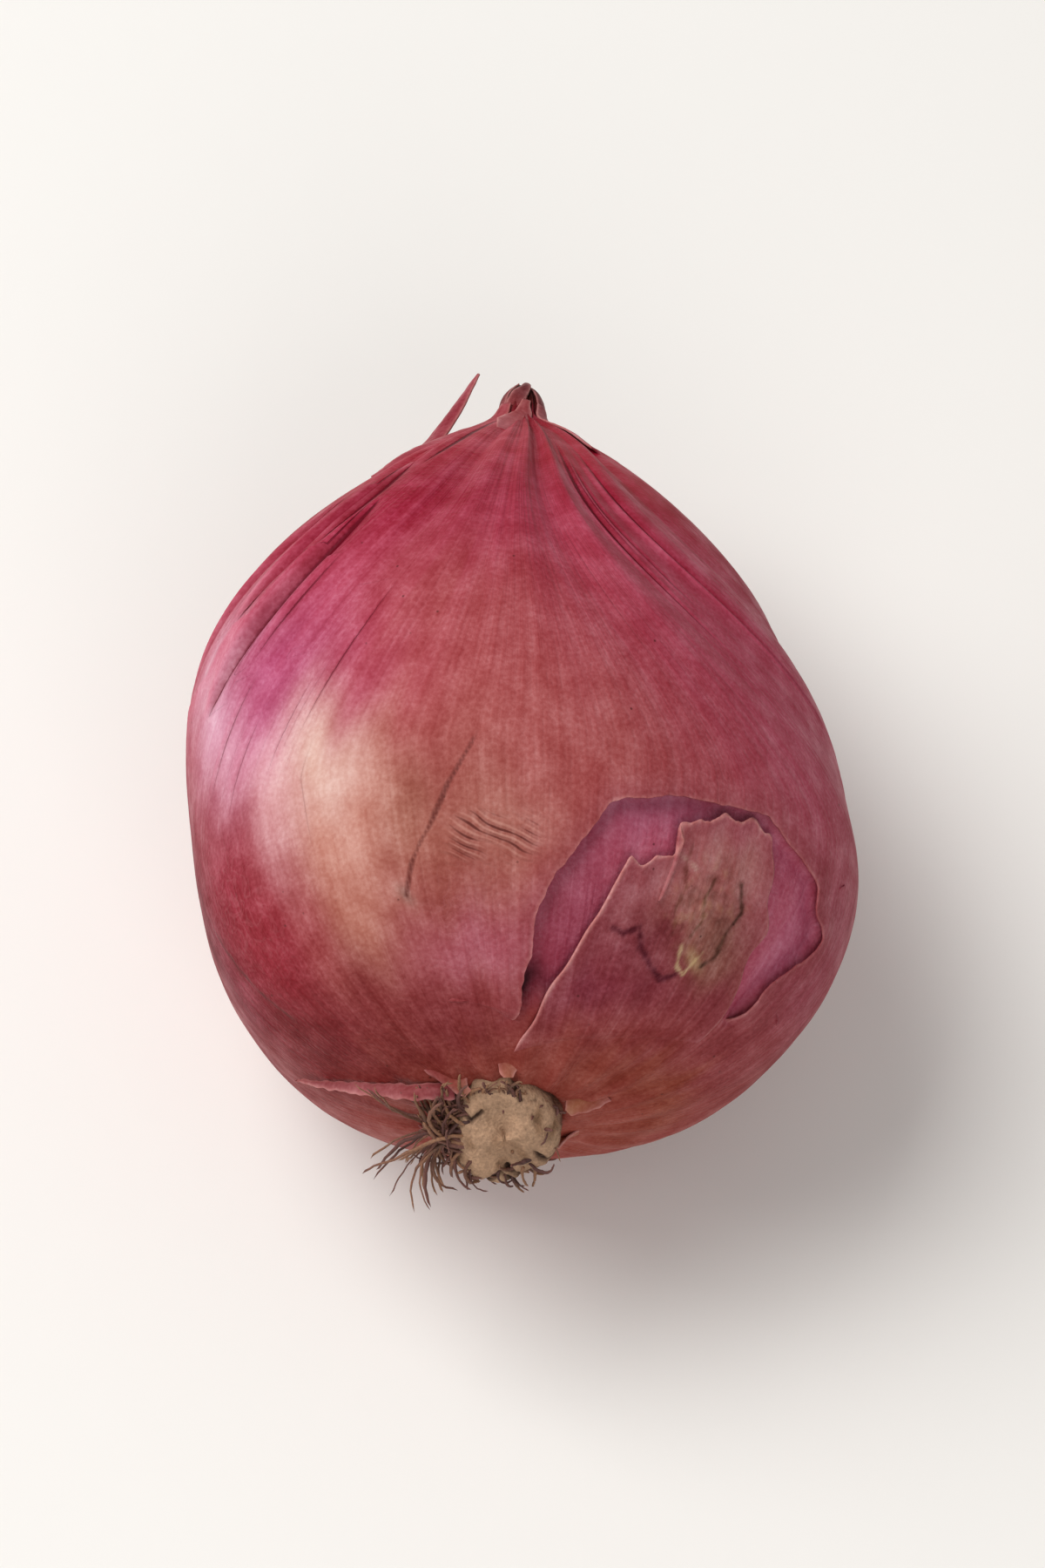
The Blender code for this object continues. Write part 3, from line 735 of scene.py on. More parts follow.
inside = inside_outline(angle, length, WINDOW_EDGE + WINDOW_FOOT)
edge_gap = path_distance(angle, length, WINDOW_EDGE)[0]
foot_gap = path_distance(angle, length, [WINDOW_EDGE[-1]] + WINDOW_FOOT + [WINDOW_EDGE[0]])[0]
signed_gap = np.where(inside, edge_gap, -edge_gap)
near_foot = smooth_step(foot_gap, 0.0, 1.4)
opened = smooth_step(signed_gap, -0.45, -0.05) * np.where(inside, near_foot, near_foot * 0.9)
under_share = smooth_step(signed_gap, -0.3, 0.0) * inside
ripple = noise_at(skin_places(angle, length), 2.4, 8.0, 51.0)
relief = relief * (1.0 - 0.75 * opened) - opened * (WINDOW_DEPTH + 0.06 * ripple)
colour = skin_colour(angle, length)
under_colour = blend_patches(ramp(UNDER_COLOURS, height), angle, length, UNDER_PATCHES)
colour = colour + (under_colour - colour) * opened[:, None]
drawn = fine_lines(angle, length)
finish_skin(bulb, skin_points(angle, length, relief), skin_places(angle, length), colour, under_share, drawn)
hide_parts("bulb")

# Torn edge
# The rim of the outer skin where it has split away: a paper-thin strip that stands a little
# proud of the layer below, ragged and pale along its broken edge.
LAID_OUT_RADIUS = 12.0         # the bulb's radius at the window, where its skin is laid out flat
EDGE_COLUMNS = 300
EDGE_ROWS = 22
EDGE_REACH = 3.0               # how far the strip runs back over the sound skin
EDGE_CROWDING = 1.8
EDGE_LIFT = 0.10
EDGE_CURL = 0.20
EDGE_CURL_REACH = 0.9
EDGE_BURIED = 0.05
EDGE_JAGS = ((0.10, 1.1), (0.07, 0.4))
EDGE_SMOOTHED = 12             # points to either side that a point's heading is averaged over
TORN_THICKNESS = 0.09
TORN_RIM_COLOUR = "#d08c88"
TORN_RIM_WIDTH = 0.11
TORN_DRY_COLOUR = "#96494f"
TORN_DRY_WIDTH = 0.9


def smooth_path(corners, count):
    """Evenly spread points on a smooth curve through the corners, as rows of numbers."""
    corners = np.array(corners, float)
    ends = (2 * corners[0] - corners[1], 2 * corners[-1] - corners[-2])
    padded = np.vstack([ends[0], corners, ends[1]])
    share = np.linspace(0.0, 1.0, 24, endpoint=False)[:, None]
    spans = []
    for p0, p1, p2, p3 in zip(padded, padded[1:], padded[2:], padded[3:]):
        bend = (2 * p0 - 5 * p1 + 4 * p2 - p3) * share ** 2 + (3 * p1 - p0 - 3 * p2 + p3) * share ** 3
        spans.append(p1 + 0.5 * ((p2 - p0) * share + bend))
    dense = np.vstack(spans + [corners[-1:]])
    lengths = np.concatenate([[0.0], np.cumsum(np.linalg.norm(np.diff(dense, axis=0), axis=1))])
    wanted = np.linspace(0.0, lengths[-1], count)
    return np.stack([np.interp(wanted, lengths, column) for column in dense.T], axis=1), lengths[-1]


def on_skin(path):
    """A path of (degrees, height) on the skin laid out flat, in millimetres round and along."""
    return [(angle * LAID_OUT_RADIUS, length) for angle, length in corners_of(path)]


def add_sheet(name, columns, rows):
    """A flat grid, and how far across and up it each of its points is, from 0 to 1."""
    bpy.ops.object.select_all(action="DESELECT")
    bpy.ops.mesh.primitive_grid_add(x_subdivisions=columns, y_subdivisions=rows, size=1.0)
    sheet = bpy.context.object
    sheet.name = name
    places = vertex_places(sheet) + 0.5
    return sheet, places[:, 0], places[:, 1]


def thicken(piece, thickness):
    """Gives a sheet its thickness, on the side away from its outer face."""
    solid = piece.modifiers.new("thickness", "SOLIDIFY")
    solid.thickness = thickness * MM
    solid.offset = -1.0
    bpy.context.view_layer.objects.active = piece
    bpy.ops.object.modifier_apply(modifier=solid.name)


def torn_rim(colour, gap, rim=0.85):
    """Pale along a broken edge, then dry and brownish a little way back from it."""
    colour = paint(colour, 0.5 * np.exp(-(gap / TORN_DRY_WIDTH) ** 2), TORN_DRY_COLOUR)
    return paint(colour, rim * np.exp(-(gap / TORN_RIM_WIDTH) ** 2), TORN_RIM_COLOUR)


torn, share, back = add_sheet("torn_skin", EDGE_COLUMNS, EDGE_ROWS)
edge_path, edge_length = smooth_path(on_skin(WINDOW_EDGE), EDGE_COLUMNS + 1)
edge_angle = edge_path[:, 0] / LAID_OUT_RADIUS
edge_radius = radius_at(height_of(edge_path[:, 1]))
along_edge = np.stack([np.gradient(edge_angle) * edge_radius, np.gradient(edge_path[:, 1])], axis=1)
kernel = np.hanning(2 * EDGE_SMOOTHED + 1)
padded = np.pad(along_edge, ((EDGE_SMOOTHED, EDGE_SMOOTHED), (0, 0)), mode="edge")
along_edge = np.stack([np.convolve(column, kernel, "valid") for column in padded.T], axis=1)
along_edge /= np.linalg.norm(along_edge, axis=1)[:, None]
column = np.rint(share * EDGE_COLUMNS).astype(int)
run_of_edge = np.stack([share * edge_length, np.zeros(len(share)), np.zeros(len(share))], axis=1)
jag = sum(depth * noise_at(run_of_edge, size, 1.0, 60.0) for depth, size in EDGE_JAGS)
taper = smooth_step(share, 0.0, 0.05) * smooth_step(1.0 - share, 0.0, 0.05)
gap = back ** EDGE_CROWDING * EDGE_REACH * (0.35 + 0.65 * taper)
reach = gap + jag * np.exp(-gap / 0.4)
length = edge_path[column, 1] + along_edge[column, 0] * reach
angle = edge_angle[column] - along_edge[column, 1] * reach / edge_radius[column]
height = height_of(length)
relief = skin_relief(angle, length, height, radius_at(height))
curl = EDGE_CURL * (0.5 + 0.5 * noise_at(run_of_edge, 3.0, 1.0, 70.0))
lift = (EDGE_LIFT + curl * np.exp(-(gap / EDGE_CURL_REACH) ** 2)) * taper
lift = lift * (1.0 - smooth_step(gap, 0.6, 2.4)) - EDGE_BURIED * smooth_step(gap, 2.2, 2.9)
lift -= 0.35 * (1.0 - taper)
rim = 0.12 + 0.3 * np.clip(0.3 + noise_at(run_of_edge, 2.0, 1.0, 75.0), 0.0, 1.0)
colour = torn_rim(skin_colour(angle, length), gap, rim)
finish_skin(torn, skin_points(angle, length, relief + lift), skin_places(angle, length), colour,
            np.zeros(len(gap)), fine_lines(angle, length))
thicken(torn, TORN_THICKNESS)

# Flap
# The piece of outer skin that still hangs on below the window: it lies over the opening with
# its left edge crisp and lifted, its top ragged, and a corky scab in its middle.
FLAP_COLUMNS = 130
FLAP_ROWS = 96
FLAP_LEFT = [(-4.4, 0.71), (-1.4, 0.99), (3.5, 1.46), (6.7, 2.24), (10.7, 3.04), (13.8, 4.16),
             (15.9, 4.88), (17.9, 5.92), (19.8, 6.96)]
FLAP_TOP = [(19.8, 6.96), (22.7, 6.86), (25.7, 7.29), (28.6, 7.5), (30, 8.13), (28.9, 8.74),
            (31.4, 9.06), (35.3, 9.38), (38.2, 9.9), (42.2, 9.81), (45.1, 10.12), (48.2, 9.83),
            (50.2, 9.73)]
FLAP_RIGHT = [(61.6, 1.92), (60.5, 2.94), (58.5, 3.99), (56.2, 5.05), (57.7, 6.11), (54.1, 7.16),
              (53.3, 8.41), (50.2, 9.73)]
FLAP_HINGE = [(-4.4, 0.71), (15.4, 0.99), (39, 1.37), (61.6, 1.92)]
FLAP_COLOURS = [(1, "#8a3d38"), (2.5, "#8c3a44"), (5, "#8b3d46"), (7, "#a8525e"), (10, "#bd6878")]
FLAP_PATCHES = [
    (39.5, 6.6, 2.3, 2.2, 0.8, "#bc7c7a"),
    (38, 5, 1.5, 1.3, 0.8, "#a46a5e"),
    (45, 5.25, 0.9, 1.3, 0.7, "#724438"),
    (51, 4.21, 1, 0.9, 0.5, "#85503f"),
    (41, 3.99, 0.45, 0.25, 0.85, "#c0a07a"),
    (44.3, 8.17, 2.2, 1, 0.6, "#9f5f58"),
    (28.1, 4.08, 1.5, 0.8, 0.7, "#741f2f"),
    (23.7, 6.04, 1, 1.4, 0.5, "#a25e63"),
    (20.7, 2.15, 2.6, 1, 0.55, "#7a2c40"),
    (45.2, 2.35, 3, 0.8, 0.5, "#7e343a"),
]
# Where it is corky: angle, height, spread
SCAB = (40.0, 6.1, 2.2)
SCAB_DARK = "#6b3c32"
SCAB_PALE = "#b5876a"
# Darker torn lines on the flap: path, width, strength, colour
FLAP_LINES = [
    ([(19.6, 4.38), (22.5, 4.28), (25.4, 4.59), (27.2, 3.98), (31.7, 3.47), (36.3, 3.17), (39.3, 3.48)],
     0.14, 0.9, "#4e1220"),
    ([(46.3, 7.35), (48.5, 6.31), (46.7, 5.25), (47.4, 4.52), (45.2, 4)], 0.13, 0.9, "#43271c"),
    ([(39.4, 7.12), (38.3, 6.28), (39.6, 5.45), (38.4, 4.82)], 0.08, 0.7, "#55331f"),
    ([(32.5, 8.14), (32, 7.31), (33, 6.48), (32.4, 5.54), (34.1, 4.71)], 0.1, 0.7, "#6a3426"),
    ([(37.3, 4.41), (38.9, 3.68), (41.2, 3.58), (43.5, 4.41)], 0.07, 0.8, "#cdb08a"),
    ([(28.6, 7.61), (31.5, 7.51), (34.5, 7.21)], 0.08, 0.6, "#cfa79b"),
]
FLAP_SAG = 0.24
FLAP_LEFT_LIFT = 0.16
FLAP_TOP_LIFT = 0.13
FLAP_BURIED = 0.10


def no_lines(count):
    """Stored on a piece of skin that has no fold, cross wrinkle, overlap or fine wrinkles on it."""
    return np.tile([2.0, 0.0, 0.1], (count, 1)), np.zeros((count, 3)), np.tile([1.0, 0.0, 0.0], (count, 1))


flap, u, v = add_sheet("flap", FLAP_COLUMNS, FLAP_ROWS)
left, right, hinge, top = [
    smooth_path(on_skin(path), count + 1)[0]
    for path, count in ((FLAP_LEFT, FLAP_ROWS), (FLAP_RIGHT, FLAP_ROWS),
                        (FLAP_HINGE, FLAP_COLUMNS), (FLAP_TOP, FLAP_COLUMNS))]
column = np.rint(u * FLAP_COLUMNS).astype(int)
row = np.rint(v * FLAP_ROWS).astype(int)
U, V = u[:, None], v[:, None]
places = (1 - U) * left[row] + U * right[row] + (1 - V) * hinge[column] + V * top[column]
places -= (1 - V) * ((1 - U) * left[0] + U * right[0]) + V * ((1 - U) * left[-1] + U * right[-1])
angle, length = places[:, 0] / LAID_OUT_RADIUS, places[:, 1]
spots = skin_places(angle, length)
left_gap, top_gap, right_gap = [path_distance(angle, length, path)[0]
                                for path in (FLAP_LEFT, FLAP_TOP, FLAP_RIGHT)]
ragged = smooth_step(v, 0.4, 1.0) * np.exp(-top_gap / 0.5) * (u > 0) * (u < 1)
length = length + ragged * 0.16 * noise_at(spots, 0.7, 1.0, 80.0)
length = length + ragged * 0.08 * noise_at(spots, 0.3, 1.0, 83.0)
height = height_of(length)
relief = skin_relief(angle, length, height, radius_at(height))
lift = 0.07 - FLAP_SAG * smooth_step(v, 0.14, 0.45) * (0.55 + 0.45 * smooth_step(u, 0.25, 0.95))
lift += FLAP_LEFT_LIFT * np.exp(-(left_gap / 0.7) ** 2) * smooth_step(v, 0.05, 0.3)
lift += FLAP_TOP_LIFT * np.exp(-(top_gap / 0.45) ** 2)
crumpled = 0.07 * noise_at(spots, 2.6, 1.5, 86.0) + 0.035 * noise_at(spots, 0.9, 1.0, 88.0)
scab_angle, scab_height, scab_spread = SCAB
scab_x = (angle - math.radians(scab_angle)) * LAID_OUT_RADIUS
scab = np.exp(-(np.hypot(scab_x, length - float(length_to(scab_height))) / scab_spread) ** 4)
crusty = noise_at(spots, 0.55, 1.0, 93.0) + 0.5 * noise_at(spots, 0.25, 1.0, 94.0)
lift += smooth_step(v, 0.05, 0.3) * crumpled + scab * (0.05 + 0.07 * crusty)
lift = np.maximum(lift, TORN_THICKNESS + 0.03 - WINDOW_DEPTH)
lift -= FLAP_BURIED * (1.0 - smooth_step(v, 0.0, 0.06))
colour = blend_patches(ramp(FLAP_COLOURS, height), angle, length, FLAP_PATCHES)
colour = colour + (skin_colour(angle, length) - colour) * (1.0 - smooth_step(v, 0.05, 0.35))[:, None]
for line, width, strength, hex_colour in FLAP_LINES:
    line_gap = path_distance(angle, length, line)[0] + 0.12 * noise_at(spots, 0.35, 1.0, 90.0)
    colour = paint(colour, strength * np.exp(-(line_gap / width) ** 2), hex_colour)
colour = paint(colour, scab * np.clip(-0.8 * crusty, 0.0, 0.4), SCAB_DARK)
colour = paint(colour, scab * np.clip(0.7 * crusty - 0.12, 0.0, 0.35), SCAB_PALE)
rim_gap = np.minimum(left_gap, np.minimum(top_gap, right_gap + 0.1))
colour = torn_rim(colour, rim_gap + 0.1 * (1.0 - smooth_step(v, 0.0, 0.1)))
finish_skin(flap, skin_points(angle, length, relief * 0.7 + lift), spots, colour, np.zeros(len(u)),
            no_lines(len(u)))
thicken(flap, TORN_THICKNESS)

# Neck
# The leaf ends twist together into a dried tip. Some have come away at the neck: thin rolled
# blades of papery skin, crimson low down, brown and brittle at their ends.
BLADE_ACROSS = 14
BLADE_ALONG = 70
BLADE_THICKNESS = 0.10
BLADE_RIM = 0.55               # how pale their broken edges are
# Each blade: path as (degrees round the bulb, height, how far off the skin), widths, degrees it
# faces, cup, colours
NECK_BLADES = {
    "peeled_sliver": (
        [(-78, 30.2, -0.08), (-77, 31.8, 0.05), (-78, 33.1, 0.2), (-80, 34.1, 0.95), (-82, 35.1, 1.65),
         (-84, 36.8, 2.2), (-84, 38.9, 1.9)],
        [0.5, 1.3, 1.7, 1.6, 1.3, 0.9, 0.2], -48, 0.1,
        ["#a32a42", "#9f2640", "#98243c", "#8e2032", "#90283a", "#a04450"]),
    "rim_leaf": (
        [(-58, 31.2, -0.06), (-55, 33, 0.06), (-52, 34.6, 0.12), (-48, 35.9, 0.15), (-40, 36.9, 0.18)],
        [0.7, 1.7, 1.8, 1.5, 0.6], -40, 0.05, ["#aa304a", "#a82c46", "#a82c42", "#ac3a48", "#a04048"]),
    "front_leaf": (
        [(-6, 33.2, -0.05), (-2, 34.8, 0.07), (4, 36, 0.1), (12, 37, 0.12)],
        [0.6, 1.5, 1.3, 0.4], 4, 0.06, ["#ad3c4a", "#b44a52", "#b5555a", "#8a3a38"]),
    "right_leaf": (
        [(44, 32.4, -0.05), (46, 34.2, 0.08), (50, 35.8, 0.12), (58, 36.9, 0.15)],
        [0.7, 1.7, 1.4, 0.5], 48, 0.06, ["#ae3f54", "#ae4456", "#b05058", "#84383a"]),
    "back_leaf": (
        [(-150, 31.6, -0.05), (-154, 33.6, 0.08), (-160, 35.4, 0.12), (-170, 36.8, 0.15)],
        [0.8, 1.9, 1.6, 0.5], -158, 0.06, ["#a03848", "#a23e4a", "#a0484c", "#743230"]),
    "tip_front": (
        [(-20, 36.7, 0), (-10, 37.3, 0.06), (10, 37.9, 0.05), (40, 38.4, 0)],
        [0.9, 0.8, 0.6, 0.25], -6, 0.12, ["#7a2c2a", "#4c1c18", "#381511", "#573626"]),
    "tip_left": (
        [(-80, 36.7, 0), (-76, 37.4, 0.08), (-70, 37.9, 0.08), (-60, 38.4, 0)],
        [0.9, 0.8, 0.5, 0.2], -66, 0.12, ["#7c2a2c", "#54201c", "#3c1814", "#5e4030"]),
    "tip_right": (
        [(80, 36.8, 0), (76, 37.4, 0.06), (70, 37.9, 0.06), (60, 38.3, 0)],
        [0.9, 0.8, 0.5, 0.2], 66, 0.12, ["#742628", "#4e1e1a", "#381612", "#584030"]),
    "tip_under": (
        [(170, 36.7, 0), (175, 37.3, 0.06), (180, 37.9, 0.05), (180, 38.3, 0)],
        [1, 0.9, 0.6, 0.25], 178, 0.12, ["#742628", "#4e1e1a", "#381612", "#543a28"]),
}


def off_skin(path):
    """A path of (degrees, height, distance off the skin) as (x, height, height above the axis)."""
    places = []
    for degrees, height, lift in path:
        reach = float(radius_at(min(height, TIP_HEIGHT - 0.05))) + lift
        turned = math.radians(degrees)
        across = float(sway_at(height)) + reach * math.sin(turned)
        places.append((across, height, reach * math.cos(turned)))
    return places


def add_blade(name, path, widths, facing, cup, colours, seed, ragged=0.06):
    """A thin blade along a path, cupped across and ragged along its edges."""
    blade, u, v = add_sheet(name, BLADE_ACROSS, BLADE_ALONG)
    row = np.rint(v * BLADE_ALONG).astype(int)
    corners = [(x, height - ORIGIN_HEIGHT, AXIS_ABOVE_FLOOR + up) for x, height, up in path]
    line, blade_length = smooth_path(corners, BLADE_ALONG + 1)
    heading = np.gradient(line, axis=0)
    heading /= np.linalg.norm(heading, axis=1)[:, None]
    outwards = np.array([math.sin(math.radians(facing)), 0.0, math.cos(math.radians(facing))])
    sideways = np.cross(heading, outwards)
    sideways /= np.linalg.norm(sideways, axis=1)[:, None]
    outwards = np.cross(sideways, heading)
    width = np.interp(v, np.linspace(0.0, 1.0, len(widths)), widths)
    across = (2.0 * u - 1.0) * width / 2
    run = np.stack([across, np.full(len(u), float(seed)), v * blade_length], axis=1)
    edge = np.abs(2.0 * u - 1.0)
    fray = ragged * noise_at(np.stack([np.sign(across), run[:, 1], run[:, 2]], axis=1), 1.0, 0.5, seed)
    across = across + np.sign(across) * edge * fray
    rolled = cup * width * (1.0 - edge ** 2)
    rolled += 0.05 * noise_at(run, 0.5, 3.0, seed + 0.5) * np.minimum(width, 1.0)
    points = line[row] + sideways[row] * across[:, None] + outwards[row] * rolled[:, None]
    stops = list(zip(np.linspace(0.0, 1.0, len(colours)), colours))
    colour = ramp(stops, v + 0.06 * noise_at(run, 0.8, 2.0, seed + 0.2))
    colour = torn_rim(colour, (1.0 - edge) * width / 2 + 0.03, BLADE_RIM)
    points[:, 2] = np.maximum(points[:, 2], 0.0)
    finish_skin(blade, points * MM, run, colour, np.zeros(len(u)), no_lines(len(u)))
    thicken(blade, BLADE_THICKNESS)


for seed, (name, (path, *shape)) in enumerate(NECK_BLADES.items()):
    add_blade(name, off_skin(path), *shape, seed=seed * 7 + 3)

# Root plate
# The corky disc that the leaves and the roots grew from: squarish, dipped in its face, with
# crumbly pale cork, pits and a few cracks, both darkened with painted shade.
PLATE_TILT = 33.0
PLATE_STRETCH = 1.18
PLATE_FACE = 2.2
PLATE_BACK = -2.3
PLATE_SQUARENESS = 3.4
PLATE_DIP = 0.3
PLATE_SEGMENTS = 180
PLATE_RINGS = 100
PLATE_PIT_DEPTH = 0.16
PLATE_CRUMB_DEPTH = 0.05
# Cracks across its face, in millimetres from its middle: path, half width, depth
PLATE_CRACKS = [
    ([(0.1, -1.5), (0.7, -1.9), (1.5, -1.75), (2.3, -1.9)], 0.16, 0.55),
    ([(-0.9, -2.3), (-0.2, -1.7), (0.4, -2.2), (1, -2.6)], 0.13, 0.4),
    ([(1.3, -0.6), (1.9, -1.2), (2.6, -1.1)], 0.1, 0.3),
    ([(-2.2, 1.2), (-1.5, 0.7), (-1, 1.1)], 0.08, 0.2),
    ([(0.4, 2.3), (0.7, 1.6), (1.4, 1.5)], 0.07, 0.18),
]
CORK_COLOUR = "#b08c70"
# The cork's shade is painted shade in its pits and also darkens some crumbs; the crack colour is painted
# shade in its cracks
CORK_SHADE = "#86644a"
CORK_RIM = "#6b4232"
CRACK_SHADE_COLOUR = "#38221a"


def dried_material(name, grains, bump_depth, roughness):
    """Dull dried plant tissue: its stored tint, darker and lighter by grains given as size in
    millimetres, detail, darkest and lightest. The first grain is also its bump."""
    material, tree, shader = new_material(name)
    shade = add_node(tree, "Attribute", {}, attribute_name="tint")
    place = add_node(tree, "TexCoord", {})
    for size, detail, darkest, lightest in reversed(grains):
        grain = add_node(tree, "TexNoise", {"Vector": place.outputs["Object"], "Detail": detail,
                                            "Scale": 1.0 / (size * MM)})
        factor = add_node(tree, "MapRange", {"Value": grain, "From Min": 0.3, "From Max": 0.7,
                                             "To Min": darkest, "To Max": lightest})
        shade = add_node(tree, "VectorMath", {"Vector": shade, "Scale": factor}, operation="SCALE")
    bump = add_node(tree, "Bump", {"Height": grain, "Distance": bump_depth * MM})
    tree.links.new(shade.outputs[0], shader.inputs["Base Color"])
    tree.links.new(bump.outputs["Normal"], shader.inputs["Normal"])
    shader.inputs["Roughness"].default_value = roughness
    return material, shader


# Dried cork: dead, airy plant tissue, dull and cream, crumbled to a fine grain.
CORK_GRAINS = [(0.14, 3.0, 0.78, 1.15), (0.9, 4.0, 0.80, 1.15)]
cork_material, shader = dried_material("dried_cork", CORK_GRAINS, bump_depth=0.09, roughness=0.85)
shader.inputs["Specular IOR Level"].default_value = 0.25

plate_middle = Vector((PLATE_ACROSS, -ORIGIN_HEIGHT, AXIS_ABOVE_FLOOR + PLATE_UP))
plate_turn = Matrix.Rotation(math.radians(90.0 - PLATE_TILT), 3, "X")
plate_turn = plate_turn @ Matrix.Diagonal((1.0, PLATE_STRETCH, 1.0))


def out_of_base(points):
    """Places in the plate's own frame, its Z out of the base, as metres in the bulb's frame."""
    return (points @ np.array(plate_turn).T + np.array(plate_middle)) * MM


def flat_gap(x, y, path):
    """Distance to a path drawn on the plate's face, in millimetres."""
    best = np.full(x.shape, 1e9)
    for (x0, y0), (x1, y1) in zip(path, path[1:]):
        dx, dy = x1 - x0, y1 - y0
        part = np.clip(((x - x0) * dx + (y - y0) * dy) / (dx * dx + dy * dy), 0.0, 1.0)
        best = np.minimum(best, np.hypot(x - x0 - part * dx, y - y0 - part * dy))
    return best


plate, ball = add_ball("root_plate", PLATE_SEGMENTS, PLATE_RINGS)
reach = np.hypot(ball[:, 0], ball[:, 1])
size = (reach ** PLATE_SQUARENESS + np.abs(ball[:, 2]) ** PLATE_SQUARENESS) ** (1.0 / PLATE_SQUARENESS)
angle = np.arctan2(ball[:, 0], ball[:, 1])
reach = reach / size
face = np.maximum(ball[:, 2], 0.0) / size
middle, half = (PLATE_FACE + PLATE_BACK) / 2, (PLATE_FACE - PLATE_BACK) / 2
radius = PLATE_RADIUS * reach * (1.0 + 0.05 * np.cos(3 * angle + 1.0))
dip = PLATE_DIP * (1.0 - reach ** 2) * (1.0 + np.cos(2 * angle + 0.5)) * face
out = middle + half * ball[:, 2] / size - dip
x, y = radius * np.sin(angle), radius * np.cos(angle)
spots = np.stack([x, y, out], axis=1)
pits = np.clip(noise_at(spots, 0.75, 1.0, 100.0) - 0.05, 0.0, 1.0)
crumbs = noise_at(spots, 0.28, 1.0, 104.0)
knobs = noise_at(spots, 1.5, 1.0, 107.0)
crack = np.zeros(len(x))
crack_depth = np.zeros(len(x))
wander = 0.12 * noise_at(spots, 0.5, 1.0, 110.0)
for path, half_width, depth in PLATE_CRACKS:
    groove = np.exp(-((flat_gap(x, y, path) + wander) / half_width) ** 2) * smooth_step(face, 0.2, 0.6)
    crack = np.maximum(crack, groove)
    crack_depth = np.maximum(crack_depth, groove * depth)
sunk = PLATE_PIT_DEPTH * pits + 0.10 * knobs + crack_depth
shrink = 1.0 - (0.05 * pits + 0.03 * crumbs + 0.04 * knobs) * reach
spots = np.stack([x * shrink, y * shrink, out - face * sunk - PLATE_CRUMB_DEPTH * crumbs * face], axis=1)
move_points(plate, out_of_base(spots))
colour = np.tile(np.array(linear(CORK_COLOUR)[:3]), (len(x), 1))
# Painted shade in the pits, mottling by the crumbs, a darker rim, and painted shade in the cracks
colour = paint(colour, 1.8 * pits + 0.3 * np.clip(-crumbs, 0.0, 1.0), CORK_SHADE)
colour = paint(colour, smooth_step(1.0 - face, 0.25, 0.7) * 0.85, CORK_RIM)
colour = paint(colour, crack, CRACK_SHADE_COLOUR)
store(plate.data, "tint", "FLOAT_COLOR", colour)
plate.data.materials.append(cork_material)
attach(plate, "root")
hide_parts("roots")

# Rootlets
# What is left of the roots: short, dried and wiry, curled every way round the plate's rim and
# longest on the left. They grow by a rule like the solid's, with more and finer strands.
ROOTLETS = 190
ROOTLET_RADIUS = 0.11
ROOTLET_SIDES = 6
ROOTLET_RINGS = 16
ROOTLET_SUNK = 0.9
ROOTLET_LENGTH = (0.15, 0.9)
ROOTLET_LEAN = (-12.0, 16.0)
ROOTLET_CURL = (40.0, 190.0)
LEFT_MIDDLE = 1.48             # the left, in half turns round the plate's rim
LEFT_CROWDING = 0.85
LEFT_EXTRA = (0.6, 4.4)
LEFT_SWEEP = 1.5
OFF_LEFT_CUT = 0.5
ROOTLET_WIGGLE = 0.22
ROOTLET_SEED = 11
CLEARANCE = 0.25
ROOTLET_COLOURS = ["#583025", "#4a251f", "#6b4036", "#8a6044", "#42221d", "#60382e"]

# Dried root: a woody thread, shrunk and wrinkled lengthwise, dull brown with paler ends.
ROOT_GRAINS = [(0.12, 2.0, 0.75, 1.20)]
rootlet_material = dried_material("dried_root_thread", ROOT_GRAINS, bump_depth=0.05, roughness=0.7)[0]


def clear_of_bulb(place):
    """Moves a rootlet's point away from the base where it would touch the skin."""
    reach = min(math.hypot(place.x, place.z - AXIS_ABOVE_FLOOR) / BULB_RADIUS, 1.0)
    below = (1.0 - reach ** BASE_POWER) ** (1.0 / BASE_POWER)
    skin = WIDEST_HEIGHT * (1.0 - below) - ORIGIN_HEIGHT
    place.y = min(place.y, skin - CLEARANCE - 2.0 * ROOTLET_RADIUS)
    return place


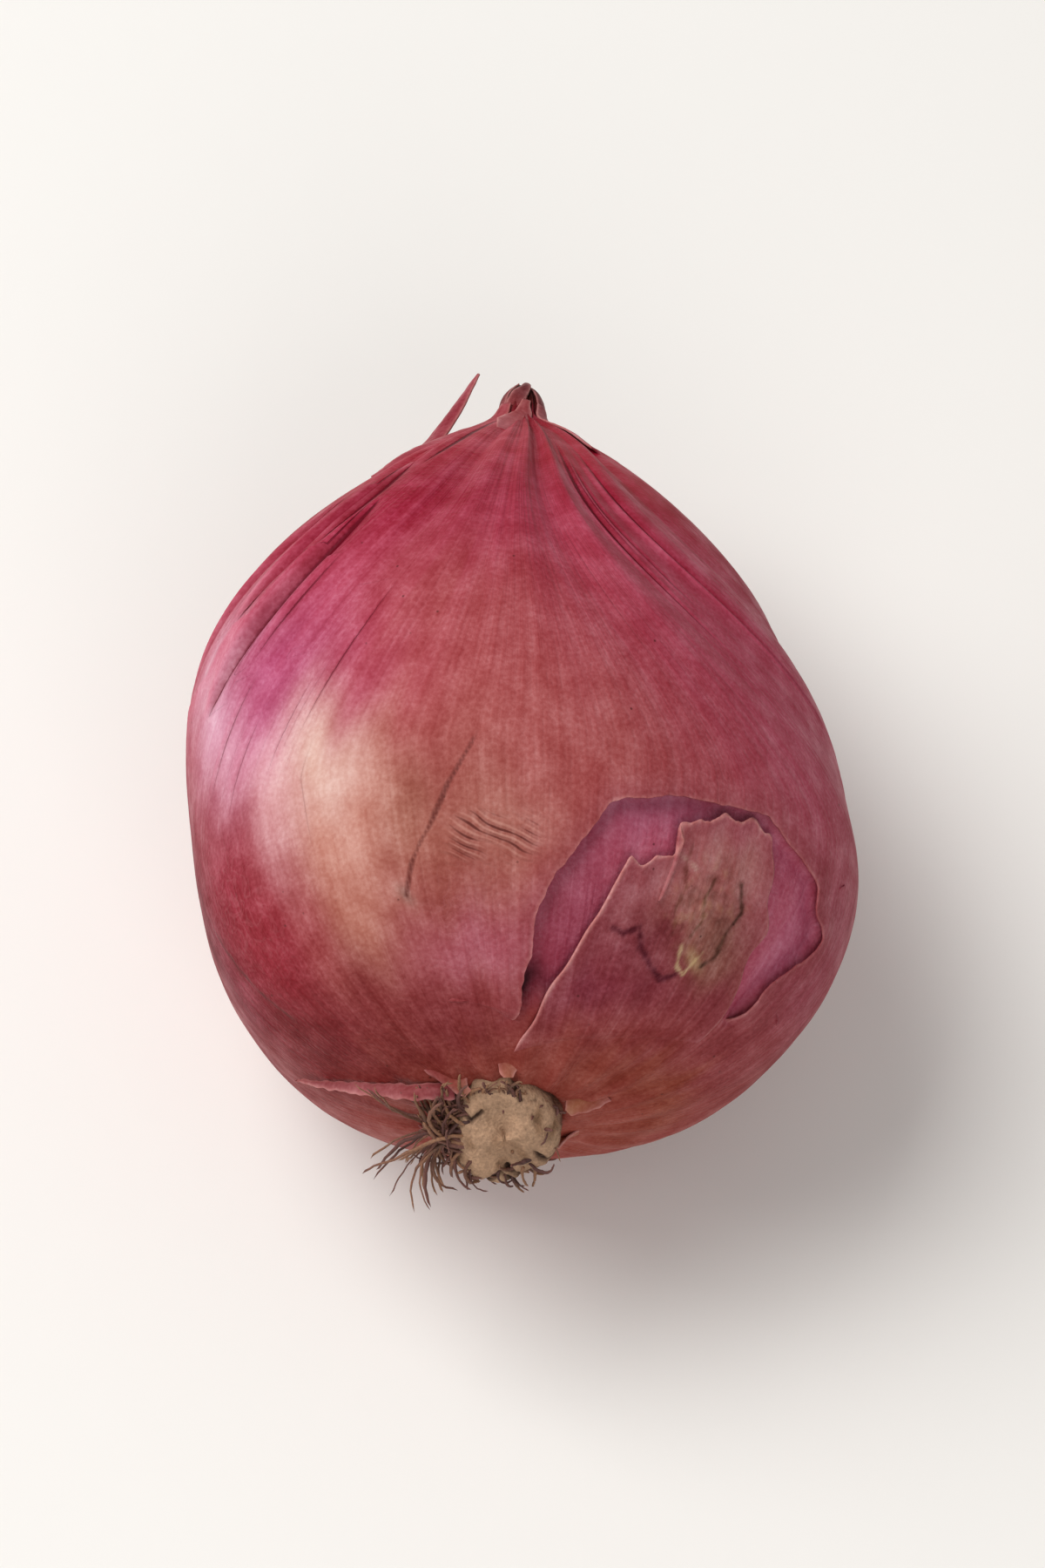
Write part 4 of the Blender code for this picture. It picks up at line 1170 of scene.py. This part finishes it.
def rootlet_path(index, draw):
    """From inside the plate's rim outwards in a curl; those on the left are the longest."""
    angle = 2.0 * math.pi * (index + 0.7 * draw.random()) / ROOTLETS
    angle -= LEFT_CROWDING * math.sin(angle - LEFT_MIDDLE * math.pi)
    left = max(0.0, -math.sin(angle)) * (1.0 - OFF_LEFT_CUT * abs(math.cos(angle)))
    length = draw.uniform(*ROOTLET_LENGTH) + left ** 3 * draw.uniform(*LEFT_EXTRA)
    lean = math.radians(draw.uniform(*ROOTLET_LEAN))
    outwards = Vector((math.sin(angle), math.cos(angle), 0.0))
    heading = outwards * math.cos(lean) + Vector((0.0, 0.0, math.sin(lean)))
    heading = (heading - Vector((LEFT_SWEEP * draw.random(), 0.0, 0.0))).normalized()
    curl_axis = Vector((draw.uniform(-1, 1), draw.uniform(-1, 1), draw.choice((-1.6, 1.6))))
    curl = math.radians(draw.uniform(*ROOTLET_CURL)) / ROOTLET_RINGS
    turn = Matrix.Rotation(curl, 3, curl_axis.normalized())
    place = outwards * (PLATE_RADIUS - ROOTLET_SUNK)
    place.z = PLATE_FACE * draw.uniform(0.15, 0.8)
    path = []
    for _ in range(ROOTLET_RINGS + 1):
        path.append(clear_of_bulb(plate_turn @ place + plate_middle))
        wiggle = Vector([draw.uniform(-1, 1) for _ in range(3)]) * ROOTLET_WIGGLE
        place += (heading + wiggle) * (length + ROOTLET_SUNK) / ROOTLET_RINGS
        heading = turn @ heading
    return np.array([tuple(point) for point in path])


thread, ball = add_ball("rootlets", ROOTLET_SIDES, ROOTLET_RINGS)
around = np.arctan2(ball[:, 1], ball[:, 0])
ring = np.rint(np.arccos(np.clip(-ball[:, 2], -1.0, 1.0)) / np.pi * ROOTLET_RINGS).astype(int)
along = ring / ROOTLET_RINGS
thickness = ROOTLET_RADIUS * (1.1 - 0.6 * along) * (np.hypot(ball[:, 0], ball[:, 1]) > 0.01)
draw = random.Random(ROOTLET_SEED)
strands = []
for index in range(ROOTLETS):
    strand = thread if index == 0 else thread.copy()
    if index > 0:
        strand.data = thread.data.copy()
        bpy.context.scene.collection.objects.link(strand)
    strands.append(strand)
for index, strand in enumerate(strands):
    line = rootlet_path(index, draw)
    heading = np.gradient(line, axis=0)
    heading /= np.linalg.norm(heading, axis=1)[:, None]
    sideways = np.cross(heading, np.array([0.3, 0.5, 0.81]))
    sideways /= np.linalg.norm(sideways, axis=1)[:, None]
    upwards = np.cross(heading, sideways)
    slimness = draw.uniform(0.5, 1.15)
    girth = (thickness * slimness * (1.0 + 0.15 * np.sin(9.0 * along + index)))[:, None]
    round_it = np.cos(around)[:, None] * sideways[ring] + np.sin(around)[:, None] * upwards[ring]
    points = line[ring] + girth * round_it
    move_points(strand, points * MM)
    start = np.array(linear(draw.choice(ROOTLET_COLOURS))[:3])
    end = np.array(linear(draw.choice(ROOTLET_COLOURS[2:4]))[:3])
    store(strand.data, "tint", "FLOAT_COLOR", start + (end - start) * (along ** 2)[:, None])
bpy.ops.object.select_all(action="DESELECT")
for strand in strands:
    strand.select_set(True)
bpy.context.view_layer.objects.active = thread
bpy.ops.object.join()
thread.data.materials.append(rootlet_material)
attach(thread, "root")
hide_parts("roots")

# Frayed skin at the base
# Scraps of the outer skin's lower end, dried thin and curled away from the root plate. Each
# scrap: path as (x, height, height above the axis), widths, degrees it faces, cup, colours.
BASE_SCRAPS = {
    "long_scrap": (
        [(-3, 0.1, 3.4), (-4.6, 0.1, 3.2), (-6.2, 0.6, 2.3), (-7.9, 1.3, 1.1), (-9.3, 2.1, -0.3),
         (-10.2, 2.7, -1.2)],
        [0.9, 0.8, 0.7, 0.55, 0.4, 0.12], -20, 0.2,
        ["#6a2c2a", "#7c3c3a", "#8c5050", "#7e4444", "#663230"]),
    "upper_left_scrap": (
        [(-3.9, 1.6, 4.6), (-3.3, 0.9, 4.1), (-2.8, 0.2, 3.8), (-2.4, -0.2, 3.7)],
        [2.2, 1.8, 1.1, 0.4], -25, 0.1, ["#84382f", "#8b3f34", "#975340", "#ad7c5c"]),
    "top_scrap": (
        [(-0.4, 1.9, 6.3), (-0.5, 1.1, 5.4), (-0.6, 0.5, 4.95), (-0.6, 0.1, 4.75)],
        [2.6, 2.2, 1.4, 0.4], 0, 0.08, ["#84382f", "#8b4034", "#985540", "#ab7a55"]),
    "right_scrap": (
        [(3.3, 0.9, 2.3), (2.8, 0.45, 2.15), (2.3, 0, 2), (2, -0.3, 1.9)],
        [2.2, 1.9, 1.3, 0.4], 45, 0.1, ["#8a4630", "#945336", "#a06440", "#b08258"]),
    "low_right_scrap": (
        [(3.6, 1.2, -2.4), (2.6, 0.5, -1.8), (1.9, 0, -1.5), (1.6, -0.5, -1.6)],
        [2.4, 2, 1.3, 0.4], 120, 0.12, ["#7d4030", "#8a4c36", "#99623f", "#a97d58"]),
    "low_left_scrap": (
        [(-4.8, 1.4, -2.6), (-4, 0.6, -2.2), (-3.3, -0.1, -2), (-3.1, -0.8, -2.4)],
        [2.4, 2.1, 1.3, 0.4], -125, 0.14, ["#76343a", "#7d3c36", "#8a5040", "#a37658"]),
}
for seed, (name, shape) in enumerate(BASE_SCRAPS.items()):
    add_blade(name, *shape, seed=seed * 5 + 71, ragged=0.14)
